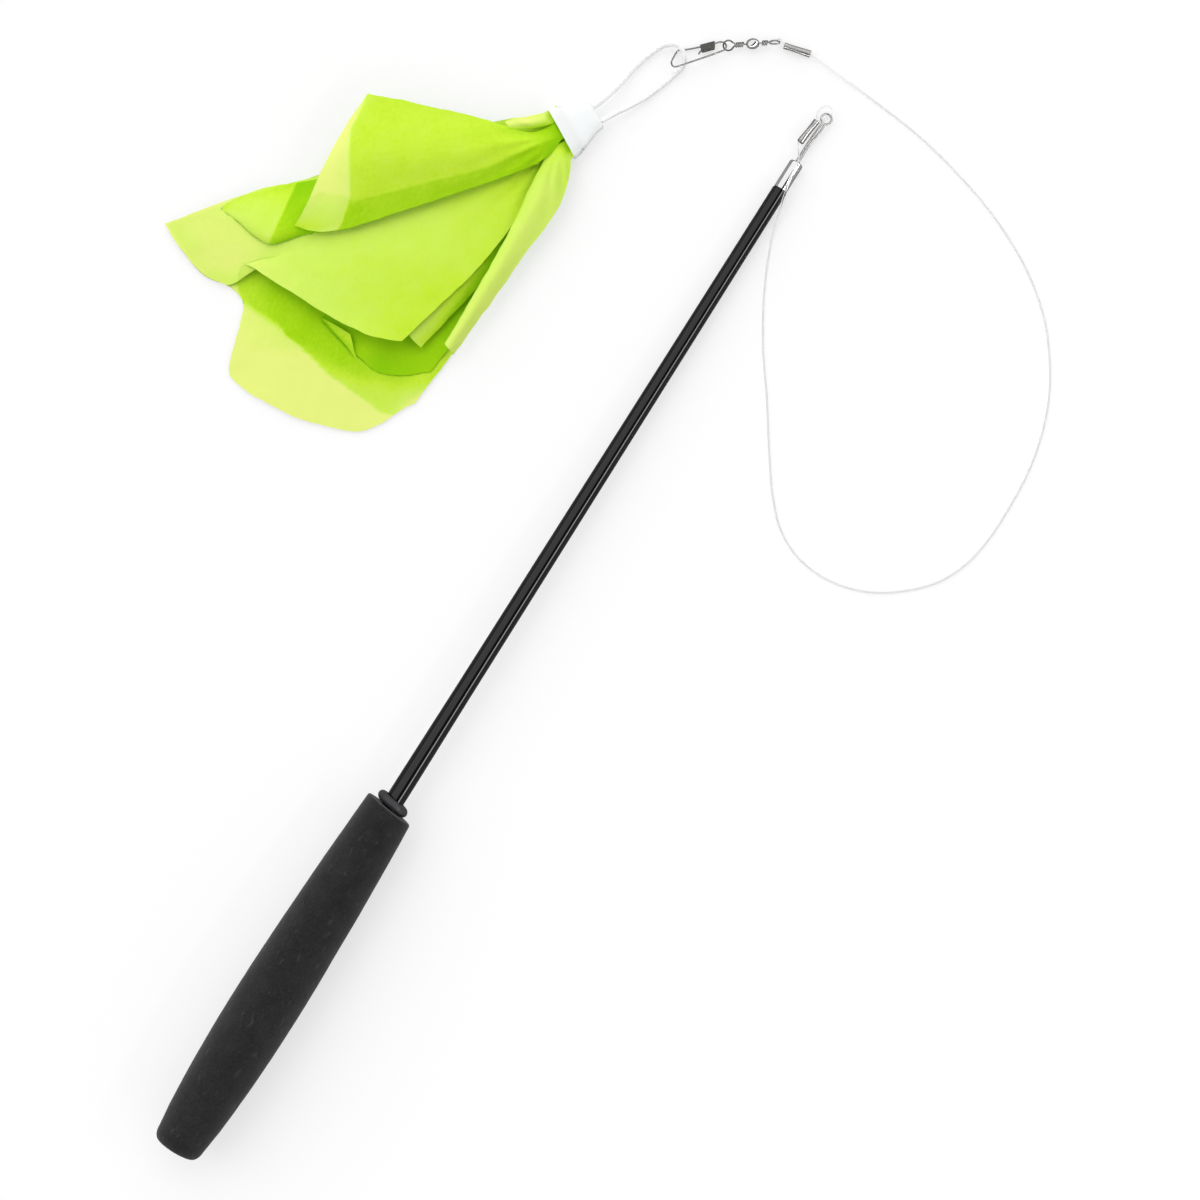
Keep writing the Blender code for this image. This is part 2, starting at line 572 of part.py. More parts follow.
def make_leaf(name, place_in_mouth, rows, across=12, along=17):
    # One folded leaf of tissue: a thin sheet drawn through its rows of points
    start, end, height = place_in_mouth
    held = []
    for depth in (LEAF_INSERT, -1.0):
        row = []
        for share in (start, (start + end) / 2, end):
            offset = CAP_MOUTH_SIZE[0] * (0.5 - share)
            row.append(cap_matrix @ Vector((depth, offset, height - CAP_MOUTH_CENTRE[2])))
        held.append(row)
    bands = [even_path(smooth_path(row, 10), across) for row in held + rows]
    columns = [even_path(smooth_path(column, 8), along) for column in zip(*bands)]
    build = bmesh.new()
    bmesh.ops.create_grid(build, x_segments=across, y_segments=along, size=1)
    build.verts.sort(key=lambda vert: 100 * round(vert.co.x, 3) + vert.co.y)
    points = [point for column in columns for point in column]
    for vert, point in zip(build.verts, points):
        vert.co = point * MM
    bmesh.ops.recalc_face_normals(build, faces=build.faces)
    leaf = place(name, finish_mesh(build, name, 80), lure, tissue)
    wall = leaf.modifiers.new("leaf", "SOLIDIFY")
    wall.thickness = LEAF_THICKNESS * MM
    wall.offset = 0.0
    return leaf


clear_scene()
toy = new_collection(COLLECTION)
cutters = new_collection("cutters")

foam = new_material("black_foam", (0.022, 0.022, 0.023), 0.95)
rubber = new_material("black_rubber", (0.028, 0.028, 0.03), 0.6)
black_gloss = new_material("black_lacquer", (0.012, 0.012, 0.013), 0.16)
chrome = new_material("chrome", (0.86, 0.86, 0.87), 0.12, 1.0)
dull_steel = new_material("dull_steel", (0.5, 0.5, 0.51), 0.3, 1.0)
bright_steel = new_material("bright_steel", (0.66, 0.66, 0.67), 0.22, 1.0)
plated_sheet = new_material("plated_sheet", (0.42, 0.42, 0.43), 0.3, 1.0)
crimp_metal = new_material("crimp_metal", (0.8, 0.8, 0.8), 0.28, 1.0)
nylon = new_material("clear_nylon", (0.86, 0.87, 0.88), 0.25, alpha=0.6)
milky_plastic = new_material("milky_plastic", (0.9, 0.97, 0.97), 0.4, alpha=0.85)
white_cord = new_material("white_cord", (0.9, 0.9, 0.9), 0.9)
tissue = new_material("lime_tissue", (0.58, 0.85, 0.045), 0.8)

rod_matrix = Matrix.Translation((0, 0, LIFT)) @ Matrix.Rotation(-TILT, 4, "X")
swivel_matrix = Matrix.Translation(SWIVEL_CENTRE) @ Matrix.Rotation(radians(SWIVEL_HEADING), 4, "Z")
cap_matrix = Matrix.Translation(CAP_MOUTH_CENTRE) @ Matrix.Rotation(radians(CAP_HEADING), 4, "Z")
line_contact = LINE_RING["at"] + SWIVEL_RING_RADIUS
snap_contact = SNAP_RING["at"] + SWIVEL_RING_RADIUS

# Pivots from the table to the lure, each on the axis that its pieces turn on
table = pivot("table", None, (0, 0, -LIFT))
rod_axis = pivot("rod_axis", table, (0, 0, LIFT), (-degrees(TILT), 0, 0))
swivel_axis = pivot("swivel_axis", table, SWIVEL_CENTRE, (0, 0, SWIVEL_HEADING))
line_eye_swing = pivot("line_eye_swing", swivel_axis, (-line_contact, 0, 0))
barrel_spin = pivot("barrel_spin", line_eye_swing, (line_contact, 0, 0))
snap_eye_spin = pivot("snap_eye_spin", barrel_spin)
snap_turn = (SNAP_ROLL, 0, SNAP_HEADING - SWIVEL_HEADING)
snap_swing = pivot("snap_swing", snap_eye_spin, (snap_contact, 0, 0), snap_turn)
snap_arm_open = pivot("snap_arm_open", snap_swing, (*SNAP_HINGE, 0))
bpy.context.view_layer.update()
lure_swing = pivot("lure_swing", snap_swing, LURE_PIVOT)
lure_swing.matrix_parent_inverse = snap_swing.matrix_world.inverted() @ table.matrix_world
lure = pivot("lure", lure_swing, [-part for part in LURE_PIVOT])

make_foam_grip()
make_grip_collar()
make_rod_blank()
make_tip_ferrule()
make_tip_eye()
make_crimp("tip_crimp", TIP_CRIMP)
make_crimp("swivel_crimp", SWIVEL_CRIMP)
tube("fishing_line", line_path(), LINE_DIAMETER, table, nylon)
make_swivel_eye("swivel_line_eye", LINE_RING, -1, line_eye_swing, line_contact)
make_swivel_eye("swivel_snap_eye", SNAP_RING, 1, snap_eye_spin, 0.0)
make_swivel_body()
make_snap_wire()
make_snap_arm()
make_snap_clasp()
make_lure_cap()
make_lure_cord()
for leaf_name, (leaf_place, leaf_rows) in LEAVES.items():
    make_leaf(leaf_name, leaf_place, leaf_rows)
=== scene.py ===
# Cat fishing rod toy on a white table: its finishes, its line, its tissue lure, its light and its camera
import json
from math import asin, atan, atan2, cos, degrees, exp, pi, radians, sin

import bmesh
import bpy
from mathutils import Euler, Matrix, Vector, noise
from mathutils.bvhtree import BVHTree

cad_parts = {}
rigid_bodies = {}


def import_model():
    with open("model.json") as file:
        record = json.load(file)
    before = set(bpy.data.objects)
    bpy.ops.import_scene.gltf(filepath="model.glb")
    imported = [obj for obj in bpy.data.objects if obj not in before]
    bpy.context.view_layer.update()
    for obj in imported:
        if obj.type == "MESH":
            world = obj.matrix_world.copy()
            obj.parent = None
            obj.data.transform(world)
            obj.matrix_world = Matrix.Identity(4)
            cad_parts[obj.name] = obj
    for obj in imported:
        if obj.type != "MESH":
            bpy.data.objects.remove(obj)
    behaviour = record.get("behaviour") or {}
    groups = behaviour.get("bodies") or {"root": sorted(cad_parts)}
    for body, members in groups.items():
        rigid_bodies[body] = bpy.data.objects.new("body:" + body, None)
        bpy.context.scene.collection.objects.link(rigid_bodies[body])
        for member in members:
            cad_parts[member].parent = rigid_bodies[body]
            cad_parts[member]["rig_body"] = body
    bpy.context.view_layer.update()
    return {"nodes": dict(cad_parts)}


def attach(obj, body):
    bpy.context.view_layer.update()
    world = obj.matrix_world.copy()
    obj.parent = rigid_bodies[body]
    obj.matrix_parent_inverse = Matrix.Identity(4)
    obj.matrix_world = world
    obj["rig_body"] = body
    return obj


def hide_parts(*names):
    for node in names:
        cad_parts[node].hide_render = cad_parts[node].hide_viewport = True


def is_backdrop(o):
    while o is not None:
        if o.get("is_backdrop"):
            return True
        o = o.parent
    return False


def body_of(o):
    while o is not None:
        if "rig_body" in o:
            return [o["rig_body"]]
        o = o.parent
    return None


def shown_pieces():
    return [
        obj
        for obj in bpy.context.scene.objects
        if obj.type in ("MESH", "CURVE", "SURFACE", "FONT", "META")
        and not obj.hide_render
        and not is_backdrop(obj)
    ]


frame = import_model()

mm = 0.001
tableDrop = 16.50949   # the table lies this far below the middle of the grip's butt

picture = {
    "side": 1200,              # pixels of the photograph
    "scale": 0.42,             # millimetres of table to a pixel
    "centre": (27.8, 286.1),   # what lies under the lens, on the table
    "turn": 32.205,            # degrees from +X to the picture's right
    "lensHeight": 1200.0,      # above the table
    "clip": (0.01, 50),        # in metres
}


def onTable(point):
    # A point in millimetres above the table, in the frame's metres
    return (Vector(point) - Vector((0, 0, tableDrop))) * mm


def fromPicture(across, down, height):
    # The point at this height above the table that the photograph shows at a pixel
    reach = picture["scale"] * (1 - height / picture["lensHeight"])
    x, y = (across - picture["side"] / 2) * reach, (down - picture["side"] / 2) * reach
    turn = radians(picture["turn"])
    return Vector((picture["centre"][0] + x * cos(turn) + y * sin(turn),
                   picture["centre"][1] + x * sin(turn) - y * cos(turn), height))


def toPicture(point):
    # The pixel at which the photograph shows a point above the table
    reach = picture["scale"] * (1 - point.z / picture["lensHeight"])
    x, y = (point.x - picture["centre"][0]) / reach, (point.y - picture["centre"][1]) / reach
    turn, half = radians(picture["turn"]), picture["side"] / 2
    return half + x * cos(turn) + y * sin(turn), half + x * sin(turn) - y * cos(turn)


def newObject(name, data):
    thing = bpy.data.objects.new(name, data)
    bpy.context.scene.collection.objects.link(thing)
    return thing


def makeCamera():
    lens = bpy.data.cameras.new("camera")
    lens.angle = 2 * atan(picture["side"] * picture["scale"] / 2 / picture["lensHeight"])
    lens.clip_start, lens.clip_end = picture["clip"]
    camera = newObject("camera", lens)
    camera.location = onTable((*picture["centre"], picture["lensHeight"]))
    camera.rotation_euler = (0, 0, radians(picture["turn"]))
    bpy.context.scene.camera = camera


makeCamera()
print("camera made")


# Paths

def smoothPath(points, perSpan):
    # Points along a centripetal Catmull-Rom curve through the given points
    points = [Vector(point) for point in points]
    ends = [2 * points[0] - points[1]] + points + [2 * points[-1] - points[-2]]
    path = []
    for a, b, c, d in zip(ends, ends[1:], ends[2:], ends[3:]):
        before, between, after = [max((q - p).length, 1e-6) ** 0.5 for p, q in ((a, b), (b, c), (c, d))]
        leave = c - b + between * ((b - a) / before - (c - a) / (before + between))
        arrive = c - b + between * ((d - c) / after - (d - b) / (between + after))
        for step in range(perSpan):
            t = step / perSpan
            path.append(b + t * leave + t**2 * (3 * (c - b) - 2 * leave - arrive)
                        + t**3 * (2 * (b - c) + leave + arrive))
    return path + [points[-1]]


def evenPath(path, count):
    # The same path again, in a number of equal steps
    reach = [0.0]
    for p, q in zip(path, path[1:]):
        reach.append(reach[-1] + (q - p).length)
    steps, at = [], 0
    for index in range(count + 1):
        want = reach[-1] * index / count
        while at < len(path) - 2 and reach[at + 1] < want:
            at += 1
        share = (want - reach[at]) / max(reach[at + 1] - reach[at], 1e-9)
        steps.append(path[at].lerp(path[at + 1], min(1.0, share)))
    return steps


def pathLength(path):
    return round(sum((q - p).length for p, q in zip(path, path[1:])), 4)


def arcPoints(radius, start, end, count):
    angles = [radians(start + (end - start) * step / count) for step in range(count + 1)]
    return [Vector((radius * cos(angle), radius * sin(angle), 0)) for angle in angles]


def pathCurve(name, path):
    # A curve object that goes straight from point to point
    curve = bpy.data.curves.new(name, "CURVE")
    curve.dimensions = "3D"
    spline = curve.splines.new("POLY")
    spline.points.add(len(path) - 1)
    for point, place in zip(spline.points, path):
        point.co = (*place, 1.0)
    return newObject(name, curve)


# Node trees and the sums in them

def plug(socket, value):
    # Puts a link or a plain value in a socket
    if isinstance(value, Wire):
        socket.id_data.links.new(value.socket, socket)
    else:
        socket.default_value = value


class Wire:
    # An output socket that takes part in Python sums
    def __init__(self, socket):
        self.socket = socket

    def sum(self, operation, other=0.0):
        node = self.socket.id_data.nodes.new("ShaderNodeMath")
        node.operation = operation
        plug(node.inputs[0], self)
        plug(node.inputs[1], other)
        return Wire(node.outputs[0])

    def __add__(self, other):
        return self.sum("ADD", other)

    def __mul__(self, other):
        return self.sum("MULTIPLY", other)

    def __sub__(self, other):
        return self.sum("SUBTRACT", other)

    def __truediv__(self, other):
        return self.sum("DIVIDE", other)

    __radd__ = __add__


class NodeTree:
    # The nodes of a material, of the world or of a shape that geometry nodes grow
    def __init__(self, tree):
        self.tree = tree

    def node(self, kind, settings=None, output=0, **inputs):
        # Settings first, then the values or links of its sockets, by name or as i0, i1 and so on
        node = self.tree.nodes.new(kind)
        for key, value in (settings or {}).items():
            if key == "stops":
                self.setStops(node.color_ramp.elements, value)
            else:
                setattr(node, key, value)
        for key, value in inputs.items():
            plug(node.inputs[int(key[1:]) if key[1:].isdigit() else key.replace("_", " ")], value)
        return Wire(node.outputs[output])

    def setStops(self, stops, values):
        # Greys at their places on a ramp
        while len(stops) < len(values):
            stops.new(0.5)
        for stop, (at, shade) in zip(stops, values):
            stop.position = at
            stop.color = (shade, shade, shade, 1)

    def vector(self, operation, output=0, **inputs):
        return self.node("ShaderNodeVectorMath", {"operation": operation}, output, **inputs)


# Finishes

class Finish(NodeTree):
    # A material with one Principled shader, whose constants are set by name
    def __init__(self, name, **constants):
        self.material = bpy.data.materials.new(name)
        self.material.use_nodes = True
        super().__init__(self.material.node_tree)
        self.shader = self.tree.nodes["Principled BSDF"]
        self.output = self.tree.nodes["Material Output"]
        self.place = self.node("ShaderNodeTexCoord", output="Object")
        self.feed(**constants)

    def feed(self, **sockets):
        for key, value in sockets.items():
            plug(self.shader.inputs[key.replace("_", " ")], value)
        return self.material

    def stretched(self, scale):
        return self.vector("MULTIPLY", i0=self.place, i1=scale)

    def noise(self, size, detail, roughness=0.55, place=None):
        # Noise whose features are about this many millimetres wide
        return self.node("ShaderNodeTexNoise", Vector=place or self.place, Scale=1000 / size, Detail=detail,
                         Roughness=roughness)

    def ramp(self, value, *stops):
        return self.node("ShaderNodeValToRGB", {"stops": stops}, Fac=value)

    def between(self, value, low, high):
        # 0 at low, 1 at high and straight between them
        return self.node("ShaderNodeMapRange", i0=value, i1=low, i2=high)

    def mix(self, factor, first, second):
        # Colour between first and second
        return self.node("ShaderNodeMix", {"data_type": "RGBA"}, output=2, i0=factor, i6=first, i7=second)

    def bump(self, height, depth, strength, under=None):
        # depth is in millimetres, for a height that runs from 0 to 1
        node = self.node("ShaderNodeBump", Height=height, Distance=depth * mm, Strength=strength)
        if under:
            plug(node.socket.node.inputs["Normal"], under)
        return node


def paint(thing, material):
    # One material over a whole piece
    thing.data.materials.clear()
    thing.data.materials.append(material)


def foamFinish():
    look = {"dark": (0.0075, 0.0075, 0.008, 1), "light": (0.019, 0.019, 0.02, 1),
            "scuff": (0.045, 0.045, 0.047, 1)}
    foam = Finish("closed cell foam", Roughness=0.92, Specular_IOR_Level=0.12, Sheen_Weight=0.15,
                  Sheen_Roughness=0.6)
    patches = foam.noise(7.0, 4)
    grain = foam.noise(0.8, 3)
    cells = foam.node("ShaderNodeTexVoronoi", output="Distance", Vector=foam.place, Scale=1900.0)
    lit = foam.ramp(patches * 0.45 + grain * 0.55, (0.38, 0), (0.64, 1))
    streaks = foam.ramp(foam.noise(2.2, 2, place=foam.stretched((1, 0.45, 1))), (0.62, 0), (0.72, 1))
    shade = foam.mix(streaks * 0.45, foam.mix(lit, look["dark"], look["light"]), look["scuff"])
    skin = foam.bump(cells, 0.10, 0.5, foam.bump(grain, 0.12, 0.6))
    return foam.feed(Base_Color=shade, Roughness=0.86 + patches * 0.12, Normal=skin)


def rubberFinish():
    rubber = Finish("black rubber", Roughness=0.5, Specular_IOR_Level=0.5)
    grain = rubber.noise(0.5, 3)
    shade = rubber.mix(rubber.noise(3.0, 2), (0.022, 0.022, 0.024, 1), (0.04, 0.04, 0.043, 1))
    return rubber.feed(Base_Color=shade, Roughness=0.38 + grain * 0.25, Normal=rubber.bump(grain, 0.03, 0.6))


def lacquerFinish():
    lacquer = Finish("black lacquer", Roughness=0.14, Specular_IOR_Level=0.0, Coat_Weight=1.0,
                     Coat_Roughness=0.06)
    flow = lacquer.noise(3.0, 2, place=lacquer.stretched((1, 0.1, 1)))
    dust = lacquer.ramp(lacquer.noise(0.35, 1), (0.76, 0), (0.80, 1))
    shade = lacquer.mix(dust * 0.4, (0.004, 0.004, 0.0045, 1), (0.05, 0.05, 0.052, 1))
    return lacquer.feed(Base_Color=shade, Roughness=0.12 + flow * 0.1 + dust * 0.3,
                        Normal=lacquer.bump(flow, 0.01, 0.5))


def metalFinish(name, shade, roughness, tarnish, grain=0.5):
    # Plated or drawn metal, with a fine grain and a little tarnish
    metal = Finish(name, Metallic=1.0, Roughness=roughness)
    lines = metal.noise(grain, 3)
    spots = metal.ramp(metal.noise(1.3, 3), (0.52, 0), (0.75, 1))
    dull = tuple(part * 0.42 for part in shade[:3]) + (1,)
    rough = roughness * 0.6 + lines * roughness * 0.8 + spots * tarnish * 0.3
    return metal.feed(Base_Color=metal.mix(spots * tarnish, shade, dull), Roughness=rough,
                      Normal=metal.bump(lines, 0.01, 0.35))


def nylonFinish():
    nylon = Finish("clear nylon", IOR=1.53, Transmission_Weight=1.0)
    haze = nylon.noise(1.5, 2)
    return nylon.feed(Base_Color=nylon.mix(haze, (0.93, 0.94, 0.95, 1), (0.98, 0.98, 0.98, 1)),
                      Roughness=0.05 + haze * 0.12)


def capFinish():
    cap = Finish("milky plastic", IOR=1.49, Subsurface_Weight=0.25, Subsurface_Radius=(1.0, 1.0, 1.0),
                 Subsurface_Scale=0.003)
    cloud = cap.noise(6.0, 2)
    grain = cap.noise(0.4, 2)
    return cap.feed(Base_Color=cap.mix(cloud, (0.955, 0.995, 0.995, 1), (0.985, 1.0, 1.0, 1)),
                    Roughness=0.3 + grain * 0.2, Normal=cap.bump(grain, 0.02, 0.4))


def cordFinish():
    cord = Finish("white cord", Roughness=0.85, Sheen_Weight=0.3)
    fibre = cord.noise(0.25, 3)
    return cord.feed(Base_Color=cord.mix(fibre, (0.96, 0.96, 0.96, 1), (1.0, 1.0, 1.0, 1)),
                     Normal=cord.bump(fibre, 0.05, 0.6))


def tissueFinish():
    # Thin dyed tissue: "dye" says how deep its green is, with painted light and shade mixed in, and "shade"
    # how far another leaf covers it, which is painted as a dark green shade
    look = {
        "tones": ((0.0, (0.88, 0.985, 0.24, 1)), (0.35, (0.69, 0.95, 0.13, 1)), (0.6, (0.62, 0.91, 0.04, 1)),
                  (0.85, (0.40, 0.75, 0.003, 1)), (1.05, (0.30, 0.67, 0.0, 1))),
        "crevice_shade": (0.01, 0.38, 0.008, 1), "through": (0.6, 0.95, 0.03, 1), "translucence": 0.07,
    }
    tissue = Finish("lime tissue", Roughness=0.8, Specular_IOR_Level=0.15)
    dye, coverShade = [tissue.node("ShaderNodeAttribute", {"attribute_name": layer}, output="Fac")
                    for layer in ("dye", "shade")]
    fibres = tissue.noise(1.3, 5, 0.7, place=tissue.stretched((1, 0.6, 1)))
    cloud = tissue.noise(9.0, 3)
    depth = dye + (cloud - 0.5) * 0.18 + (fibres - 0.5) * 0.26
    shade = look["tones"][0][1]
    for (low, before), (high, tone) in zip(look["tones"], look["tones"][1:]):
        shade = tissue.mix(tissue.between(depth, low, high), shade, tone)
    # Painted shade: where other leaves cover the tissue, its colour goes to a dark green
    shade = tissue.mix(tissue.between(coverShade, 0.2, 0.75), shade, look["crevice_shade"])
    surface = tissue.bump(fibres, 0.08, 0.6, tissue.bump(cloud, 0.3, 0.5))
    tissue.feed(Base_Color=shade, Roughness=0.72 + fibres * 0.2, Normal=surface)
    through = tissue.node("ShaderNodeBsdfTranslucent", Color=look["through"])
    both = tissue.node("ShaderNodeMixShader", i0=look["translucence"], i1=Wire(tissue.shader.outputs[0]),
                       i2=through)
    plug(tissue.output.inputs["Surface"], both)
    return tissue.material


finishes = {
    "foam": foamFinish(),
    "rubber": rubberFinish(),
    "lacquer": lacquerFinish(),
    "chrome": metalFinish("chrome", (0.88, 0.88, 0.89, 1), 0.12, 0.1),
    "ball": metalFinish("ball chrome", (0.82, 0.82, 0.82, 1), 0.1, 0.3),
    "dullWire": metalFinish("dull wire", (0.42, 0.41, 0.40, 1), 0.3, 0.5, 0.3),
    "brightWire": metalFinish("bright wire", (0.36, 0.36, 0.35, 1), 0.2, 0.4, 0.3),
    "clasp": metalFinish("plated sheet", (0.11, 0.11, 0.10, 1), 0.3, 0.5, 0.4),
    "crimp": metalFinish("pressed sleeve", (0.56, 0.55, 0.54, 1), 0.24, 0.7),
    "nylon": nylonFinish(),
    "cap": capFinish(),
    "cord": cordFinish(),
    "tissue": tissueFinish(),
}
print("finishes made")


# Ways to make a piece: a smooth copy of the CAD's own shape, or a profile that is turned

def smoothMesh(name, build):
    # The mesh of a build, which is freed
    mesh = bpy.data.meshes.new(name)
    build.to_mesh(mesh)
    build.free()
    mesh.shade_smooth()
    return mesh


def modifiedMesh(thing):
    # A mesh of the object as its modifiers leave it
    return bpy.data.meshes.new_from_object(thing.evaluated_get(bpy.context.evaluated_depsgraph_get()))


def seat(thing, node, body):
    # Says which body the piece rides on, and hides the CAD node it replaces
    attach(thing, body)
    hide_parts(node)
    return thing


def addPiece(name, mesh, finish, node, body, slot):
    thing = newObject(name, mesh)
    paint(thing, finishes[finish])
    return seat(thing, node, body)


def smoothCopy(name, node, finish, body, slot, sharp=45):
    # The CAD piece again in its own place, with its loose triangles merged and its round faces smooth
    cad = frame["nodes"][node]
    build = bmesh.new()
    build.from_mesh(cad.data)
    build.transform(cad.matrix_world)
    bmesh.ops.remove_doubles(build, verts=build.verts, dist=0.001 * mm)
    bmesh.ops.recalc_face_normals(build, faces=build.faces)
    build.verts.index_update()
    faces = [[vert.index for vert in face.verts] for face in build.faces]
    mesh = bpy.data.meshes.new(name)
    mesh.from_pydata([vert.co.copy() for vert in build.verts], [], faces)
    build.free()
    mesh.shade_smooth()
    mesh.set_sharp_from_angle(angle=radians(sharp))
    return addPiece(name, mesh, finish, node, body, slot)


rodTilt = 0.0279009   # the rod dips by this angle, in radians, toward its tip
rodMatrix = Matrix.Rotation(-rodTilt, 4, "X")
turnedSharp = 50


def turnedPiece(name, profile, around, kind, shift=None, place=rodMatrix, lean=None):
    # Turns (radius, height) points round the line of place. kind is the piece's finish, CAD node, body and
    # slot. shift moves a point out by what it returns, and lean moves it along
    build = bmesh.new()
    rows = []
    for radius, along in profile:
        if radius < 1e-6:
            rows.append([build.verts.new((0, along, 0))])
            continue
        row = []
        for step in range(around):
            angle = 2 * pi * step / around
            reach = radius + (shift(radius, along, angle) if shift else 0)
            far = along + (lean(along) * reach * cos(angle) if lean else 0)
            row.append(build.verts.new((reach * cos(angle), far, reach * sin(angle))))
        rows.append(row)
    closed = len(rows[0]) > 1 and len(rows[-1]) > 1   # a ring's profile goes back to its start
    for low, high in zip(rows, rows[1:] + (rows[:1] if closed else [])):
        for step in range(around):
            after = (step + 1) % around
            corners = ((low, step), (low, after), (high, after), (high, step))
            verts = dict.fromkeys(row[at % len(row)] for row, at in corners)
            build.faces.new(list(verts))   # three corners where a row is one point on the axis
    bmesh.ops.recalc_face_normals(build, faces=build.faces)
    build.transform(Matrix.Scale(mm, 4) @ place)
    mesh = smoothMesh(name, build)
    mesh.set_sharp_from_angle(angle=radians(turnedSharp))
    return addPiece(name, mesh, *kind)


# Swivel and snap

swivelPlace = {"centre": (-42.3, 517.5, 2.45), "heading": 216.2, "ringAt": 9.2, "ringRadius": 2.15,
               "ringRoll": 60.0, "wire": 0.7}
ballSizes = {"radius": 2.27, "halfLength": 2.87, "wall": 0.4, "hole": 0.66, "lip": 0.25, "steps": 40,
             "around": 96}


def makeBall():
    # The swivel's hollow ball, open at both ends
    sizes, steps = ballSizes, ballSizes["steps"]
    inner = sizes["radius"] - sizes["wall"]
    lip = asin((sizes["hole"] + sizes["lip"]) / sizes["radius"])
    hole = asin(sizes["hole"] / inner)
    profile = []
    for step in range(steps + 1):
        angle = lip + (pi - 2 * lip) * step / steps
        profile.append((sizes["radius"] * sin(angle), sizes["halfLength"] * cos(angle)))
    for step in range(steps + 1):
        angle = pi - hole - (pi - 2 * hole) * step / steps
        profile.append((inner * sin(angle), (sizes["halfLength"] - sizes["wall"]) * cos(angle)))
    place = (Matrix.Translation(Vector(swivelPlace["centre"]) - Vector((0, 0, tableDrop)))
             @ Matrix.Rotation(radians(swivelPlace["heading"] - 90), 4, "Z"))
    return turnedPiece("swivel_ball", profile, sizes["around"], ("ball", "swivel_body", "ball", "chrome"),
                       place=place)


# What the line carries besides the ball: each piece's name, CAD node, finish, body and slot
carried = [
    ("tip_sleeve", "tip_crimp", "crimp", "rod_and_line", "crimp_metal"),
    ("swivel_sleeve", "swivel_crimp", "crimp", "rod_and_line", "crimp_metal"),
    ("line_side_eye", "swivel_line_eye", "brightWire", "line_eye", "bright_steel"),
    ("snap_side_eye", "swivel_snap_eye", "brightWire", "snap_eye", "bright_steel"),
    ("snap_bent_wire", "snap_wire", "brightWire", "snap", "bright_steel"),
    ("snap_spring_wire", "snap_arm", "brightWire", "sprung_arm", "bright_steel"),
    ("snap_folded_strip", "snap_clasp", "clasp", "snap", "plated_sheet"),
]


# Line: clear nylon, whose route is the one that the CAD settles

lineSizes = {
    "diameter": 0.7, "length": 0.6, "strandsApart": 0.92, "sleeveLength": 11.6,
    "straight": (0.5, 0.4),   # strands run straight so far into a sleeve's mouth, and out of it
    "endInside": 0.6,         # from a sleeve's far mouth to the line's end in it
    "slack": 0.4, "bend": 98, "bendSteps": 16,   # round the wire of the swivel's eye
    "rest": 0.36,             # height of the line's middle where it lies on the table
    "tableSpan": 8, "tipSpan": 5,   # steps from one point of its route to the next
}
tipSleeve = {"centre": (-2.9, 498.7, 3.1), "heading": 84.3, "rise": -9.0, "roll": 0.0}
swivelSleeve = {"centre": (-25.1, 525.4, 1.9), "heading": 194.8, "rise": 2.5, "roll": -20.0}
eyeCentre = (0.7, 507.4)
tipLoop = [(-1.45, -1.7, -1.15), (-0.15, -0.2, 0.0), (0.55, 1.75, 1.2), (0.25, 3.4, 1.7),
           (-0.9, 4.6, 1.8), (-2.8, 4.4, 1.8), (-4.2, 2.4, 1.5), (-4.5, 0.2, 0.8)]
overFerrule = [(-1.6, 489.0, 5.4), (0.2, 485.2, 6.6), (1.1, 480.0, 6.8), (2.0, 474.0, 6.6), (3.0, 469.5, 5.7),
               (4.6, 463.5, 3.6), (6.8, 456.0, 1.4), (9.6, 448.8, 0.45), (13.6, 439.5, 0.36)]
roundTable = [(19.2, 428.6), (29.8, 411.4), (42.4, 394.5), (54.3, 377.2), (66.5, 361.0), (77.5, 350.6),
              (90.5, 345.0), (106.2, 344.4), (121.5, 349.0), (134.2, 357.6), (144.3, 368.6), (150.0, 381.0),
              (152.3, 394.5), (152.6, 409.0), (151.3, 427.7), (147.8, 443.5), (142.0, 458.5), (133.8, 472.0),
              (122.1, 486.0), (105.8, 498.6), (84.0, 509.6), (62.2, 516.8), (37.4, 522.2)]
upToSleeve = [(11.8, 524.8, 0.4), (-3.0, 525.7, 0.8)]


def sleeveMatrix(sleeve):
    turn = Euler([radians(angle) for angle in (sleeve["roll"], -sleeve["rise"], sleeve["heading"])])
    return Matrix.Translation(sleeve["centre"]) @ turn.to_matrix().to_4x4()


